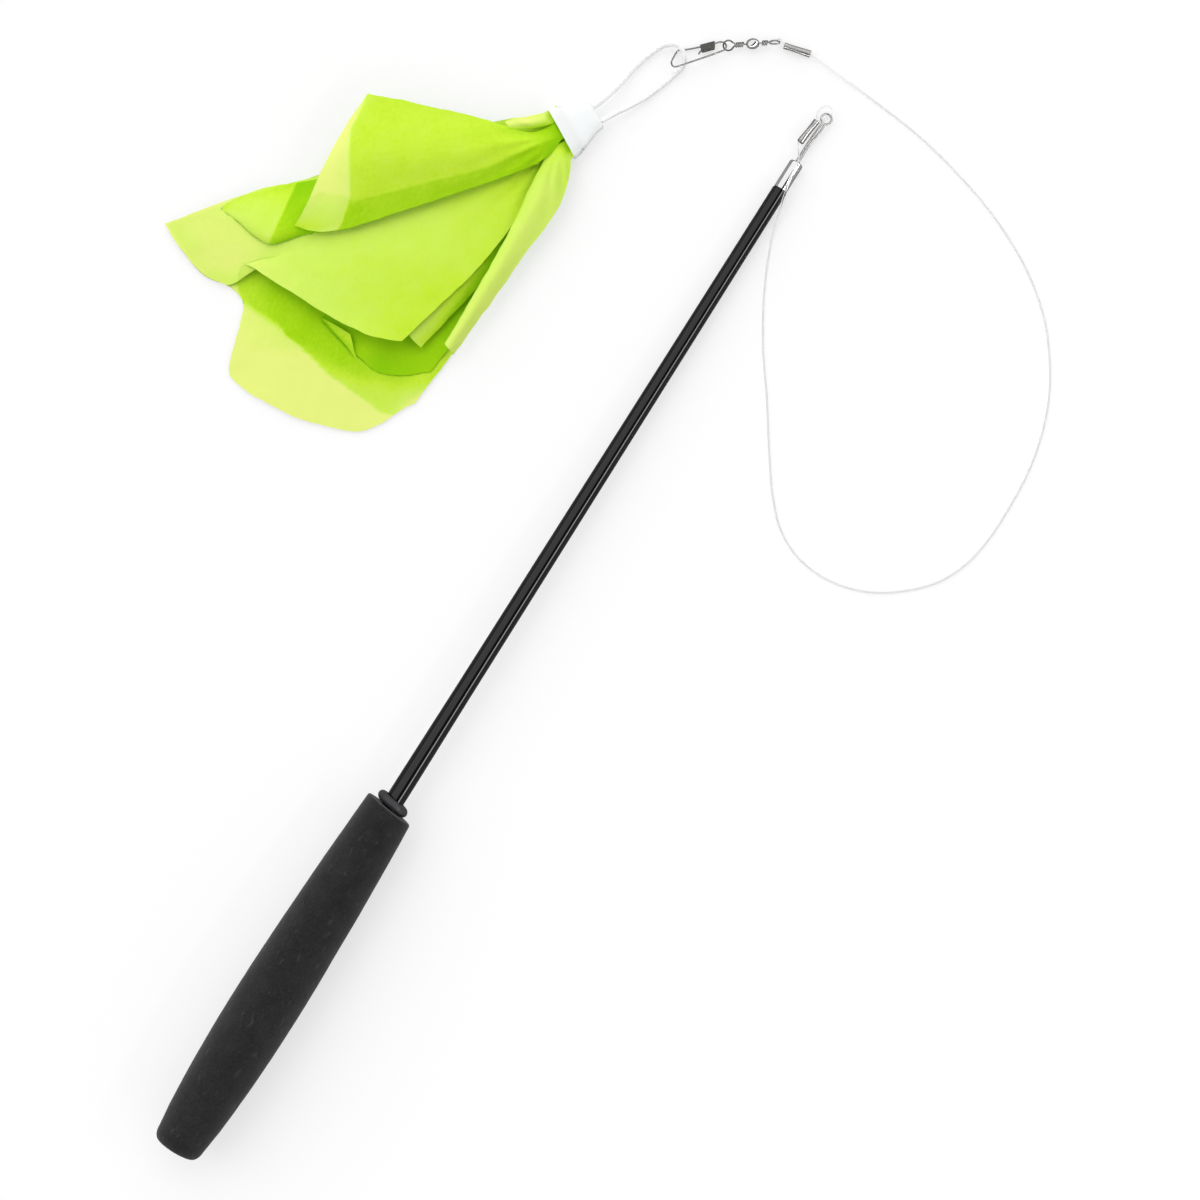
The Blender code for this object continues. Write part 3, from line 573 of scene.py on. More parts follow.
def linePath():
    sizes = lineSizes
    near, far = sleeveMatrix(tipSleeve), sleeveMatrix(swivelSleeve)
    mouth, half = sizes["sleeveLength"] / 2, sizes["strandsApart"] / 2
    inside, outside = mouth - sizes["straight"][0], mouth + sizes["straight"][1]
    cut = sizes["endInside"] - mouth
    eye = Matrix.Translation((0, 0, tableDrop)) @ rodMatrix @ Vector((*eyeCentre, 0))
    tail = [near @ Vector((along, -half, 0)) for along in (cut, inside, outside)]
    back = [near @ Vector((along, half, 0)) for along in (outside, inside, -inside, -outside)]
    tipEnd = tail + [eye + Vector(point) for point in tipLoop] + back + overFerrule
    heading = Matrix.Rotation(radians(swivelPlace["heading"]), 4, "Z")
    swivel = Matrix.Translation(swivelPlace["centre"]) @ heading
    ringWire = swivel @ Vector((-swivelPlace["ringAt"] - swivelPlace["ringRadius"], 0, 0))
    turn = swivel.to_3x3() @ Matrix.Rotation(radians(swivelPlace["ringRoll"] + 90), 3, "X")
    radius = (swivelPlace["wire"] + sizes["diameter"]) / 2 + sizes["slack"]
    arc = arcPoints(radius, -sizes["bend"], sizes["bend"], sizes["bendSteps"])
    bend = [ringWire + turn @ point for point in arc]
    arrive = [far @ Vector((along, half, 0)) for along in (-outside, outside)]
    leave = [far @ Vector((along, -half, 0)) for along in (outside, cut)]
    table = [(x, y, sizes["rest"]) for x, y in roundTable] + upToSleeve
    along = smoothPath([overFerrule[-1]] + table + arrive[:1], sizes["tableSpan"])
    return smoothPath(tipEnd, sizes["tipSpan"])[:-1] + along[:-1] + arrive + bend + leave


def makeLine():
    pieces = [smoothCopy(*piece) for piece in carried] + [makeBall()]
    path = [onTable(point) for point in linePath()]
    line = pathCurve("clear_line", path)
    line.data.bevel_depth = lineSizes["diameter"] / 2 * mm
    line.data.bevel_resolution = 3
    line.data.use_fill_caps = True
    line.data.splines[0].use_smooth = True
    paint(line, finishes["nylon"])
    seat(line, "fishing_line", "rod_and_line")
    print("line's length", pathLength(path))


makeLine()


# Lure's cord: a braid of strands along the loop, grown by geometry nodes

cordSizes = {"diameter": 2.0, "strands": 12, "strandRadius": 0.27, "turns": 13.0, "weave": 0.07,
             "length": 0.115, "steps": 420, "span": 10, "strandSides": 7, "coreSides": 12,
             "endGap": 1.0}   # from the floor of the cap's bore to the cord's end
capPlace = {"mouth": (-89.75, 442.4, 4.4), "heading": 61.0, "length": 17.0, "boreDepth": 8.5,
            "boresApart": 6.8, "mouthWidth": 23.6}
cordRoute = [(-82.0, 465.6, 3.9), (-80.0, 474.4, 2.7), (-78.9, 482.7, 1.5), (-76.2, 491.4, 1.6),
             (-73.0, 497.4, 2.3), (-69.4, 499.9, 2.9), (-66.0, 499.4, 3.0), (-63.2, 497.0, 2.5),
             (-62.0, 493.8, 1.7), (-62.8, 490.2, 1.15), (-65.2, 482.6, 1.1), (-68.2, 474.6, 1.6),
             (-72.0, 467.2, 3.0), (-75.2, 461.8, 4.1)]
capMatrix = Matrix.Translation(capPlace["mouth"]) @ Matrix.Rotation(radians(capPlace["heading"]), 4, "Z")


def capBore(side, depth=0.0):
    return capMatrix @ Vector((capPlace["length"] - depth, side * capPlace["boresApart"] / 2, 0))


class Grower(NodeTree):
    # A geometry node tree with named inputs
    def __init__(self, name):
        super().__init__(bpy.data.node_groups.new(name, "GeometryNodeTree"))
        for way in ("INPUT", "OUTPUT"):
            self.tree.interface.new_socket("Geometry", in_out=way, socket_type="NodeSocketGeometry")
        self.start = self.tree.nodes.new("NodeGroupInput")
        self.end = self.tree.nodes.new("NodeGroupOutput")
        self.values = {}   # by the socket's identifier

    def input(self, name, kind, value):
        socket = self.tree.interface.new_socket(name, in_out="INPUT", socket_type="NodeSocket" + kind)
        self.values[socket.identifier] = value
        return Wire(self.start.outputs[name])

    def grow(self, geometry, material, seed, name):
        # Ends the tree, runs it on the seed object and returns a plain mesh object
        solid = self.node("GeometryNodeRealizeInstances", Geometry=geometry)
        painted = self.node("GeometryNodeSetMaterial", Geometry=solid, Material=material)
        plug(self.end.inputs[0], painted)
        modifier = seed.modifiers.new(name, "NODES")
        modifier.node_group = self.tree
        for identifier, value in self.values.items():
            modifier[identifier] = value
        grown = modifiedMesh(seed)
        bpy.data.objects.remove(seed)
        grown.name = name
        return newObject(name, grown)


def braidCord(path):
    sizes = cordSizes
    braid = Grower("braided cord")
    strands = braid.input("Strands", "Int", sizes["strands"])
    thread = braid.input("Strand radius", "Float", sizes["strandRadius"] * mm)
    reach = braid.input("Braid radius", "Float", (sizes["diameter"] / 2 - sizes["strandRadius"]) * mm)
    turns = braid.input("Turns", "Float", sizes["turns"])
    weave = braid.input("Weave", "Float", sizes["weave"] * mm)
    line = Wire(braid.start.outputs["Geometry"])
    copies = braid.node("GeometryNodeDuplicateElements", {"domain": "SPLINE"}, Geometry=line, Amount=strands)
    index = Wire(copies.socket.node.outputs["Duplicate Index"])
    along = braid.node("GeometryNodeSplineParameter", output="Factor")
    hand = index.sum("MODULO", 2) * 2 - 1   # every other strand turns the other way
    angle = along * turns * (2 * pi) * hand + (index / 2).sum("FLOOR") * (4 * pi) / strands
    lift = (angle * hand * (strands / 2)).sum("SINE") * hand * weave
    normal = braid.node("GeometryNodeInputNormal")
    across = braid.vector("CROSS_PRODUCT", i0=braid.node("GeometryNodeInputTangent"), i1=normal)
    turned = braid.vector("SCALE", i0=normal, Scale=angle.sum("COSINE"))
    side = braid.vector("SCALE", i0=across, Scale=angle.sum("SINE"))
    offset = braid.vector("SCALE", i0=braid.vector("ADD", i0=turned, i1=side), Scale=reach + lift)
    moved = braid.node("GeometryNodeSetPosition", Geometry=copies, Offset=offset)
    both = braid.node("GeometryNodeJoinGeometry")
    for curve, radius, sides in ((line, reach, sizes["coreSides"]), (moved, thread, sizes["strandSides"])):
        ring = braid.node("GeometryNodeCurvePrimitiveCircle", {"mode": "RADIUS"}, Resolution=sides,
                          Radius=radius)
        tube = braid.node("GeometryNodeCurveToMesh", Curve=curve, Profile_Curve=ring, Fill_Caps=True)
        plug(both.socket.node.inputs[0], tube)
    smooth = braid.node("GeometryNodeSetShadeSmooth", Geometry=both)
    return braid.grow(smooth, finishes["cord"], pathCurve("braid_seed", path), "braided_cord")


def makeCord():
    deep = capPlace["boreDepth"] - cordSizes["endGap"]
    route = [Vector(point) for point in cordRoute]
    route = [capBore(1, deep), capBore(1)] + route + [capBore(-1), capBore(-1, deep)]
    path = evenPath(smoothPath(route, cordSizes["span"]), cordSizes["steps"])
    path = [onTable(point) for point in path]
    cord = seat(braidCord(path), "lure_cord", "lure")
    print("cord's length", pathLength(path))


makeCord()
print("cords made")


# Grip: closed cell foam, turned, with a slightly uneven skin

gripSizes = {
    "length": 166.0, "faceRadius": 8.0, "boreRadius": 4.4, "boreEnd": 16.0, "around": 120, "span": 26,
    "frontRings": (6.0, 8.0), "frontRim": [(-1.0, 0.0), (-0.5, -0.08), (-0.15, -0.35)],
    "buttRings": (6.0, 3.0, 0.0), "buttSteps": 12,
    "stations": [(5.0, 10.8), (18.5, 12.3), (44.0, 13.75), (75.0, 14.2), (106.7, 13.5), (140.0, 12.3),
                 (165.0, 11.0)],
    "lean": -0.12, "leanReach": 14.0, "swell": 0.10, "swellSize": 16, "ripple": 0.05, "rippleSize": 3.2,
    "skinRadius": 14,   # where the skin's noise and its dents are measured
    "dents": [(28, 20, 2.2, 0.3), (52, 75, 1.6, 0.25), (71, 130, 2.6, 0.3), (96, 40, 1.8, 0.25),
              (118, 105, 2.0, 0.3), (143, 62, 1.5, 0.25), (84, 250, 2.4, 0.3), (132, 300, 2.0, 0.3)],
}


def frontLean(along):
    # The grip's front is cut a little askew, higher on the lure's side
    return gripSizes["lean"] * max(0.0, 1 - (gripSizes["length"] - along) / gripSizes["leanReach"])


def foamSkin(radius, along, angle):
    # How far the skin stands out; the bore stays true
    sizes = gripSizes
    if radius < sizes["boreRadius"] + 0.5:
        return 0.0
    around = sizes["skinRadius"]
    place = Vector((cos(angle) * around, along, sin(angle) * around))
    shift = sizes["swell"] * noise.noise(place / sizes["swellSize"])
    shift += sizes["ripple"] * noise.noise(place / sizes["rippleSize"])
    for at, turn, size, depth in sizes["dents"]:
        away = (place - Vector((cos(radians(turn)) * around, at, sin(radians(turn)) * around))).length
        shift -= depth * exp(-(away / size) ** 2)
    return shift - sizes["swell"] * 0.5


def makeGrip():
    sizes = gripSizes
    length, bore, face = sizes["length"], sizes["boreRadius"], sizes["faceRadius"]
    front = sizes["stations"][-1][1]
    low, widest = sizes["stations"][0]
    profile = [(0, sizes["boreEnd"]), (bore, sizes["boreEnd"]), (bore, length)]
    profile += [(radius, length) for radius in sizes["frontRings"]]
    profile += [(front + out, length + up) for out, up in sizes["frontRim"]]
    outer = smoothPath([(radius, at, 0) for at, radius in sizes["stations"]], sizes["span"])
    profile += [(point.x, point.y) for point in reversed(outer)]
    for step in range(1, sizes["buttSteps"] + 1):
        angle = radians(90 * step / sizes["buttSteps"])
        profile.append((face + (widest - face) * cos(angle), low * (1 - sin(angle))))
    profile += [(radius, 0) for radius in sizes["buttRings"]]
    grip = turnedPiece("foam_handle", profile, sizes["around"],
                       ("foam", "foam_grip", "rod_and_line", "black_foam"), foamSkin, lean=frontLean)


makeGrip()
print("grip made")


# Rod with its collar and fittings, and the lure's cap

rodSizes = {
    "around": 96, "tip": (481.0, 2.42), "tipBevel": 0.3, "butt": (16.3, 4.1), "buttBevel": 0.5,
    "stations": [(471.6, 3.22), (440.0, 3.27), (355.0, 3.45), (290.0, 3.62), (224.0, 3.76), (182.0, 4.05)],
}
collarSizes = {
    "inner": 4.4, "radius": 7.5, "height": 4.2, "start": 166.5, "lean": -0.15, "around": 96, "steps": 28,
    "lip": [(0.0, -0.9), (0.25, -0.75), (0.5, -0.6)],
}
ferruleSizes = {
    "span": (472.0, 485.3), "radius": 3.0, "wall": 0.3, "round": 0.9, "roundSteps": 10, "rim": 0.15,
    "hole": 1.135, "around": 96,
    "floorExtra": 0.1, "floorRound": (0.3, 0.6),   # the floor is thicker than the wall
}


def makeRod():
    sizes = rodSizes
    tip, tipRadius = sizes["tip"]
    butt, buttRadius = sizes["butt"]
    profile = [(0, tip), (tipRadius - sizes["tipBevel"], tip), (tipRadius, tip - sizes["tipBevel"])]
    profile.append((tipRadius, sizes["stations"][0][0]))
    profile += [(radius, at) for at, radius in sizes["stations"]]
    profile += [(buttRadius, butt + sizes["buttBevel"]), (buttRadius - sizes["buttBevel"], butt), (0, butt)]
    turnedPiece("lacquered_rod", profile, sizes["around"],
                ("lacquer", "rod_blank", "rod_and_line", "black_lacquer"))


def makeCollar():
    sizes = collarSizes
    bead = sizes["height"] / 2
    profile = [(sizes["inner"] + out, sizes["start"] + sizes["height"] + up) for out, up in sizes["lip"]]
    for point in arcPoints(bead, 90, -90, sizes["steps"]):
        profile.append((sizes["radius"] - bead + point.x, sizes["start"] + bead + point.y))
    profile.append((sizes["inner"], sizes["start"]))
    turnedPiece("collar_bead", profile, sizes["around"],
                ("rubber", "grip_collar", "rod_and_line", "black_rubber"), lean=lambda along: sizes["lean"])


def makeFerrule():
    sizes, rim = ferruleSizes, ferruleSizes["rim"]
    start, end = sizes["span"]
    outer, inner = sizes["radius"], sizes["radius"] - sizes["wall"]
    floor = end - sizes["wall"] - sizes["floorExtra"]
    inward, downward = sizes["floorRound"]
    profile = [(sizes["hole"], end)]
    for point in arcPoints(sizes["round"], 90, 0, sizes["roundSteps"]):
        profile.append((outer - sizes["round"] + point.x, end - sizes["round"] + point.y))
    profile += [(outer, start + rim), (outer - rim, start), (inner, start)]
    profile += [(inner, floor - downward), (inner - inward, floor), (sizes["hole"], floor)]
    turnedPiece("ferrule_cup", profile, sizes["around"], ("chrome", "tip_ferrule", "rod_and_line", "chrome"))


makeRod()
makeCollar()
makeFerrule()
smoothCopy("eye_wire", "tip_eye", "dullWire", "rod_and_line", "dull_steel")
smoothCopy("cap_shell", "lure_cap", "cap", "lure", "milky_plastic", 35)
print("rod, fittings and cap made")


# Tissue: each piece is made of panels, as rows of points that run from the cap outward. A point is its place
# across and down the picture, its height and, where it isn't the panel's own, its dye. The dye is the
# tissue's own depth of green, deeper where plies lie on plies, with painted shade as well: a deeper green set
# by row where a part lies in shade. A panel's mouth says which share of the cap's mouth it fills, its height
# and its dye. Its marks change the dye on one side of an edge: below it, as (across, down), or left of it, as
# (down, across). A lining is the underside of a folded panel, and leaves the colour of what lies on it alone.

tissueSizes = {
    "thickness": 0.22, "insert": 4.0, "ahead": 1.0, "sharp": 62, "clearance": 0.35,
    "rowSpan": 10, "columnSpan": 8,
    # A leaf that touches from below deepens the dye by "darkest", one "contact" further down by e times less,
    # and each next leaf in the stack by "fading" of that. This deepening is painted light: the green of the
    # leaves below showing through the thin tissue, deepest where they touch. The dye below holds the same.
    "darkest": 0.8, "contact": 1.2, "touching": 0.3, "fading": 0.5, "casts": 4, "castStep": 0.16,
    "castReach": 8, "shadeReach": 7.0, "shadeLift": 0.3,
    "underDyeAndShade": 0.6,   # the most that an underside's dye may be
    "dyeAndShadeStretch": 10.0,   # millimetres that stand for a unit of dye, while it's drawn with a row's points
    "pleat": 0.4, "pleatRate": 0.45, "pleatShift": 3, "pleatDrift": 30, "pleatReach": 22,
    "wave": 0.5, "waveSize": 26, "ruffle": 0.17, "ruffleSize": 8, "crumple": 0.07, "crumpleSize": 3,
    "stillReach": 12, "calmReach": 6, "wobble": 0.3, "wobbleSize": 5,
    "leafHand": 3, "panelHand": 0.02,   # how far apart in the noise the leaves and their panels lie
}


def capSpot(share, depth, height):
    # A point in the cap's mouth, or before it where depth is negative
    offset = capPlace["mouthWidth"] * (0.5 - share)
    return capMatrix @ Vector((depth, offset, height - capPlace["mouth"][2]))


leaves = {
    "tissue_lower": {"node": "paper_lower", "flat": (0.19, 0.2), "panels": [
        {"mouth": (0.12, 0.88, 2.6, 0.7), "size": (120, 130), "dye": 0.7, "marks": [
            ("below", -0.62, 3, [(160, 150), (228, 262), (243, 304), (271.4, 321.4), (300, 346.4),
                                 (328.6, 375), (353.6, 392.9), (380.4, 412.5), (400, 418), (420, 420)]),
            # Painted shade: the lower leaf grows paler away from the middle leaf's edge
            ("below", -0.2, 24, [(300, 354), (330, 366), (360, 378), (390, 387), (420, 392)])],
         "rows": [
            [(505, 126, 1.8), (520, 140, 2.3), (538, 162, 2.3), (556, 187, 1.8)],
            [(405, 151, 1.2), (441, 191, 2.6), (479, 229, 2.6), (516, 252, 1.2, 0.6)],
            [(310, 178, 1), (356, 236, 2.9), (410, 284, 2.9), (467, 333, 1.2, 0.5)],
            [(240, 200, 0.9, 0.8), (293, 268, 2.2, 0.9), (351, 333, 2.6, 0.85), (431, 382, 1, 0.6)],
            [(165.3, 223.4, 0.9, 0.65), (180.6, 249, 1.1, 0.65), (190.8, 261.6, 1.1, 0.65),
             (202, 274.5, 1.2, 0.65), (216, 281, 1.2, 0.65), (231.6, 288.4, 1.2, 0.65), (243, 302, 1.3, 0.65),
             (241, 320, 1.3, 0.65), (235.5, 340, 1.2, 0.6), (229.5, 365, 1.1, 0.6), (229.7, 375, 1, 0.6),
             (246.4, 391, 1.2, 0.6), (268, 403.6, 1.4, 0.6), (293, 416, 1.4, 0.6), (321.4, 425, 1.2, 0.6),
             (355.4, 431.3, 1, 0.6), (378.6, 425, 1.2, 0.65), (400, 410.7, 1.3, 0.4), (414.3, 403.6, 1, 0)]]},
        {"lining": True, "mouth": (0.14, 0.86, 2.1, 0.4), "size": (60, 60), "dye": 0.4, "rows": [
            [(507, 128, 1.1), (520, 141, 1.7), (538, 163, 1.7), (555, 186, 1.2)],
            [(406, 153, 0.7), (441, 192, 2), (479, 230, 2), (514, 252, 0.7)],
            [(312, 182, 0.5), (356, 237, 2.3), (410, 285, 2.3), (465, 332, 0.7)],
            [(239, 264, 0.6), (272, 292, 1.2), (310, 325, 1.7), (352, 362, 1.6), (429, 382, 0.6)],
            [(243, 304, 0.6), (271.4, 321.4, 0.7), (300, 346.4, 0.8), (328.6, 375, 0.7), (353.6, 392.9, 0.6),
             (380.4, 412.5, 0.6), (399, 409, 0.6), (413, 402, 0.5)]]},
    ]},
    "tissue_pleat": {"node": "paper_pleat", "flat": (0.09, 0.11), "panels": [
        {"lining": True, "mouth": (0.55, 0.9, 3.6, 0.4), "size": (30, 100), "dye": 0.3, "rows": [
            [(526, 153, 4.3), (537, 163, 4.5), (546, 177, 3.9)],
            [(497, 213, 6.4, 0.7), (506, 218, 6.2, 0.8), (515, 224, 4.6, 0.95)],
            [(468, 266, 7.6, 0.55), (477, 271, 7.4, 0.7), (486, 276, 5.4, 0.95)],
            [(403, 329, 8, 0.35), (411, 338, 7.8, 0.35), (420.5, 348, 5.4, 0.5)]]},
        {"mouth": (0.3, 0.86, 3.1, 0.5), "size": (60, 60), "dye": 0.38, "rows": [
            [(515, 150, 3.1, 0.5), (530, 160, 3.4, 0.5), (550, 180, 3, 0.5)],
            [(440, 200, 3.4, 0.5), (478, 228, 3.6, 0.6), (512, 248, 2.4, 0.9)],
            [(370, 260, 3.6, 0.35), (410, 282, 3.9, 0.35), (462, 330, 2.4, 0.6)],
            [(322, 321, 2.9), (345, 345, 3), (359, 357, 3), (375, 371, 2.2), (396, 375.5, 2),
             (430.4, 372, 1.8)]]},
        {"size": (14, 14), "dye": 0.4, "rows": [
            [(322, 318, 4.4, 0.5), (336, 325, 4.8, 0.45), (350, 334, 5.2)],
            [(333, 330, 4.2, 0.45), (342, 336, 4.6), (352, 343, 5)],
            [(355.4, 357, 3.5, 0.3), (356, 357.5, 3.5, 0.3), (356.6, 358, 3.5, 0.3)]]},
    ]},
    "tissue_middle": {"node": "paper_middle", "flat": (0.17, 0.15), "panels": [
        {"mouth": (0.1, 0.88, 4.5, 0.6), "size": (110, 120), "dye": 0.5, "rows": [
            [(508, 119, 4.6), (522, 132, 5.4), (533, 151, 5.6, 0.55), (546, 169, 5.2, 0.6)],
            [(412, 146, 3.6, 0.4), (444, 162, 6, 0.45), (479, 195, 7.8), (515, 221, 7.4, 0.55)],
            [(318, 176, 3.2, 0.3), (351, 197, 6.5, 0.35), (390, 224, 9, 0.4), (437, 250, 9.6, 0.45),
             (479, 267, 8.8, 0.55)],
            [(248, 193.5, 2.8, 0.1), (285, 222, 6, 0.3), (321, 245, 8, 0.38), (382, 282, 10),
             (441, 304, 9.8, 0.6)],
            [(165.3, 223.4, 1.5, -0.35), (172, 236, 1.5, -0.35), (181, 249, 1.6, -0.35),
             (191.5, 262.3, 1.6, -0.35), (203, 274, 1.7, -0.35), (216, 280.5, 1.9, -0.2),
             (228, 285.5, 2.3, 0), (237, 281, 3, 0.15), (240, 271, 3.8, 0.2), (244, 264, 4.6, 0.2),
             (252, 267, 5.4, 0.2), (266, 276.5, 6.4, 0.25), (290, 291, 7.6, 0.3), (315.8, 307.6, 8.6, 0.35),
             (350, 326.7, 9.6, 0.42), (368, 335, 10), (385, 339, 10.2, 0.55), (401.8, 341, 10.2, 0.55)]]},
    ]},
    "tissue_top": {"node": "paper_top", "flat": (0.15, 0.16), "panels": [
        {"mouth": (0.28, 0.6, 6.6, 0.75), "size": (110, 170), "dye": 0.5, "marks": [
            # Painted shade with the hem's extra plies: a deeper green band along the flap's lower edge, where
            # it curves under
            ("below", 0.16, 3, [(285, 208), (319.5, 193), (346, 196), (351.6, 202), (434.7, 180.5),
                                (488, 167), (541.8, 143), (556, 138)]),
            ("left", -0.46, 2, [(90, 368.5), (96, 366.5), (129, 351), (154, 349), (195, 350), (209, 346.4),
                                (223.4, 341.3), (234, 336)])],
         "rows": [
            [(532, 132.5, 8.2, 0.7), (540, 143, 9.8, 0.7), (547, 157, 8.4, 0.7)],
            [(480, 118, 10.6, 0.62), (487, 146, 13.8, 0.6), (497, 179.5, 10.2, 0.62)],
            [(435, 107.5, 12, 0.6), (432, 152, 16.8, 0.58), (436, 199.5, 12.2, 0.62)],
            [(398, 99, 12.5, 0.6), (385, 152, 17.4, 0.58), (381, 218, 12.4, 0.62)],
            [(378, 95.5, 12.5, 0.58), (356, 150, 16.5, 0.58), (349, 195, 14.6, 0.58),
             (341, 229.5, 11.4, 0.62)],
            [(371, 94.3, 12.2), (348, 130, 14.5), (338, 152, 14.6, 0.45), (328, 190, 13.3),
             (316, 231.5, 10.6, 0.6)],
            [(367.7, 93.5, 12), (355, 111, 12), (343.6, 129.6, 12.5), (331, 152, 13, 0.4),
             (319.5, 175.2, 13, 0.4), (311.4, 193.9, 12.6), (303, 211, 11.6, 0.55), (294.5, 226, 10, 0.6)]]},
        {"lining": True, "mouth": (0.32, 0.58, 6, 0.5), "size": (50, 70), "dye": 0.4, "rows": [
            [(533, 134, 7.4), (540, 143, 9), (546, 155, 7.6)],
            [(481, 120, 9.8), (487, 146, 13), (496, 176, 9.8)],
            [(436, 109.5, 11.2), (432, 152, 15.9), (435, 195, 11.8)],
            [(400, 101, 11.7), (386, 152, 16.5), (382, 213, 12)],
            [(367.5, 96, 11.4), (357, 113, 12.3), (351, 129, 13.7), (350, 160, 15), (350, 195, 13.8),
             (346.4, 209, 12.4), (341.3, 223.4, 11.2)]]},
        {"lining": True, "size": (20, 90), "dye": 0.5, "rows": [
            [(523, 160, 8.6), (530, 163, 8.6), (540, 163, 8.4)],
            [(480, 174, 10), (488, 178, 9.8), (497, 179.5, 9.6)],
            [(437, 186, 12.4), (437, 192, 12), (436, 199, 11.5)],
            [(390, 196, 13.6), (386, 207, 12.6), (381, 217, 11.7)],
            [(349.5, 203, 12.8), (345, 218, 11.4), (340, 229, 10.8)]]},
        {"size": (50, 90), "dye": 0.72, "marks": [
            ("left", -0.4, 3, [(176, 300), (183, 297), (235, 272), (246, 267)])],
         "rows": [
            [(370, 160, 7.2), (366, 188, 10), (362, 212, 10.6)],
            [(336, 174, 5.6), (330, 202, 9), (328, 227, 9), (328.5, 229.8, 8), (328, 228, 7.2)],
            [(303, 182, 4.6), (300, 208, 8), (299, 230, 8.8), (301, 235.2, 7.6), (300, 231, 6.6)],
            [(277.6, 185, 4, 0.68), (276, 212, 7.4, 0.7), (272, 238, 8.6, 0.7), (271, 243.5, 7, 0.6),
             (271, 239, 5.8, 0.6)],
            [(252, 192, 3.6, 0.5), (255, 212, 6.2, 0.64), (257, 232, 7.2, 0.66), (257.5, 238.5, 6, 0.55),
             (259, 235, 5, 0.5)],
            [(233, 201, 3.3, 0.35), (237, 209, 4.4, 0.45), (239, 218, 5, 0.45), (239.5, 222.5, 4.4, 0.35),
             (241, 220, 3.9, 0.3)],
            [(220, 207.5, 2.7, 0.2), (221, 208.2, 2.8, 0.2), (222, 209.2, 2.9, 0.2), (222.5, 209.8, 2.8, 0.2),
             (223, 209.5, 2.6, 0.2)]]},
        {"lining": True, "size": (30, 30), "dye": 0.5, "rows": [
            [(368, 162, 6.4), (364, 188, 9.2), (360, 210, 9.8)],
            [(336, 176, 5), (330, 202, 8.3), (326, 226, 8.2)],
            [(297, 184.5, 4), (292, 196, 5.8), (284, 212, 7), (272, 236, 7.8)]]},
        {"mouth": (0.03, 0.27, 6.4, 0.4), "size": (20, 30), "dye": 0.1, "rows": [
            [(543, 113, 7.6, 0.3), (546, 119, 8.6, 0.3), (549, 125, 7.8, 0.7)],
            [(526, 116.5, 8.4), (528, 122, 9.6), (530, 128, 8.6, 0.7)],
            [(505, 121, 8.8), (507, 124, 9.4), (510, 128, 9, 0.4)]]},
    ]},
    "tissue_band": {"node": "paper_band", "flat": (0.1, 0.06), "panels": [
        {"mouth": (0.64, 0.97, 5.8, 0.4), "size": (40, 120), "dye": 0.2, "rows": [
            [(553, 147, 7, 0.45), (562, 158, 7.8, 0.4), (570, 171, 6.8, 0.5)],
            [(536, 175, 8.6, 0.4), (546, 186, 9.4, 0.3), (560, 204.5, 7.4, 0.35)],
            [(510, 230, 9.4, 0.35), (517, 237, 10.2, 0.25), (527, 251.5, 7.6, 0.25)],
            [(485.6, 274, 10, 0.35), (492, 281, 10.6, 0.25), (501, 288.5, 7.6)],
            [(445, 344, 9.8), (449, 349, 9.9), (453.2, 355, 7)]]},
        {"lining": True, "mouth": (0.7, 0.95, 5.2, 0.4), "size": (16, 60), "dye": 0.4, "rows": [
            [(559, 153, 6.6), (565, 162, 6.9), (569, 171, 6.2)],
            [(541, 181, 8.2), (550, 191, 8.6), (559, 204, 6.8)],
            [(514, 234, 9), (521, 242, 9.2), (526, 251, 7)],
            [(489, 278, 9.6), (495, 283, 9.6), (500.5, 288, 7)],
            [(447, 347, 9), (450, 351, 8.8), (452.6, 354.6, 6.4)]]},
    ]},
}


def creases(point, away, hand):
    # How far the tissue stands off its smooth shape: pleats from the cap, soft waves and fine crumple
    sizes = tissueSizes
    fan = degrees(atan2(point.y - capPlace["mouth"][1], point.x - capPlace["mouth"][0]))
    drift = sizes["pleatShift"] * noise.noise(point / sizes["pleatDrift"] + Vector((hand, 0, 0)))
    pleats = sizes["pleat"] * sin(fan * sizes["pleatRate"] + drift)
    waves = sizes["wave"] * noise.noise(point / sizes["waveSize"] + Vector((0, hand, 0)))
    waves += sizes["ruffle"] * noise.noise(point / sizes["ruffleSize"])
    crumple = sizes["crumple"] * noise.noise(point / sizes["crumpleSize"])
    near = exp(-away / sizes["pleatReach"])
    return pleats * near + (waves + crumple) * (1 - near)


def edgeAt(edge, at):
    # Where an edge, given as pairs, lies at this place; it goes on level past its ends
    if at <= edge[0][0]:
        return edge[0][1]
    for (a, p), (b, q) in zip(edge, edge[1:]):
        if at <= b:
            return p + (q - p) * (at - a) / (b - a)
    return edge[-1][1]


def markedDyeAndShade(marks, point):
    # What a panel's marks add to its dye, some of it painted shade, where the photograph shows this point
    across, down = toPicture(point)
    added = 0.0
    for side, dye, soft, edge in marks:
        past = down - edgeAt(edge, across) if side == "below" else edgeAt(edge, down) - across
        share = min(1.0, max(0.0, past / soft + 0.5))
        added += dye * share * share * (3 - 2 * share)
    return added


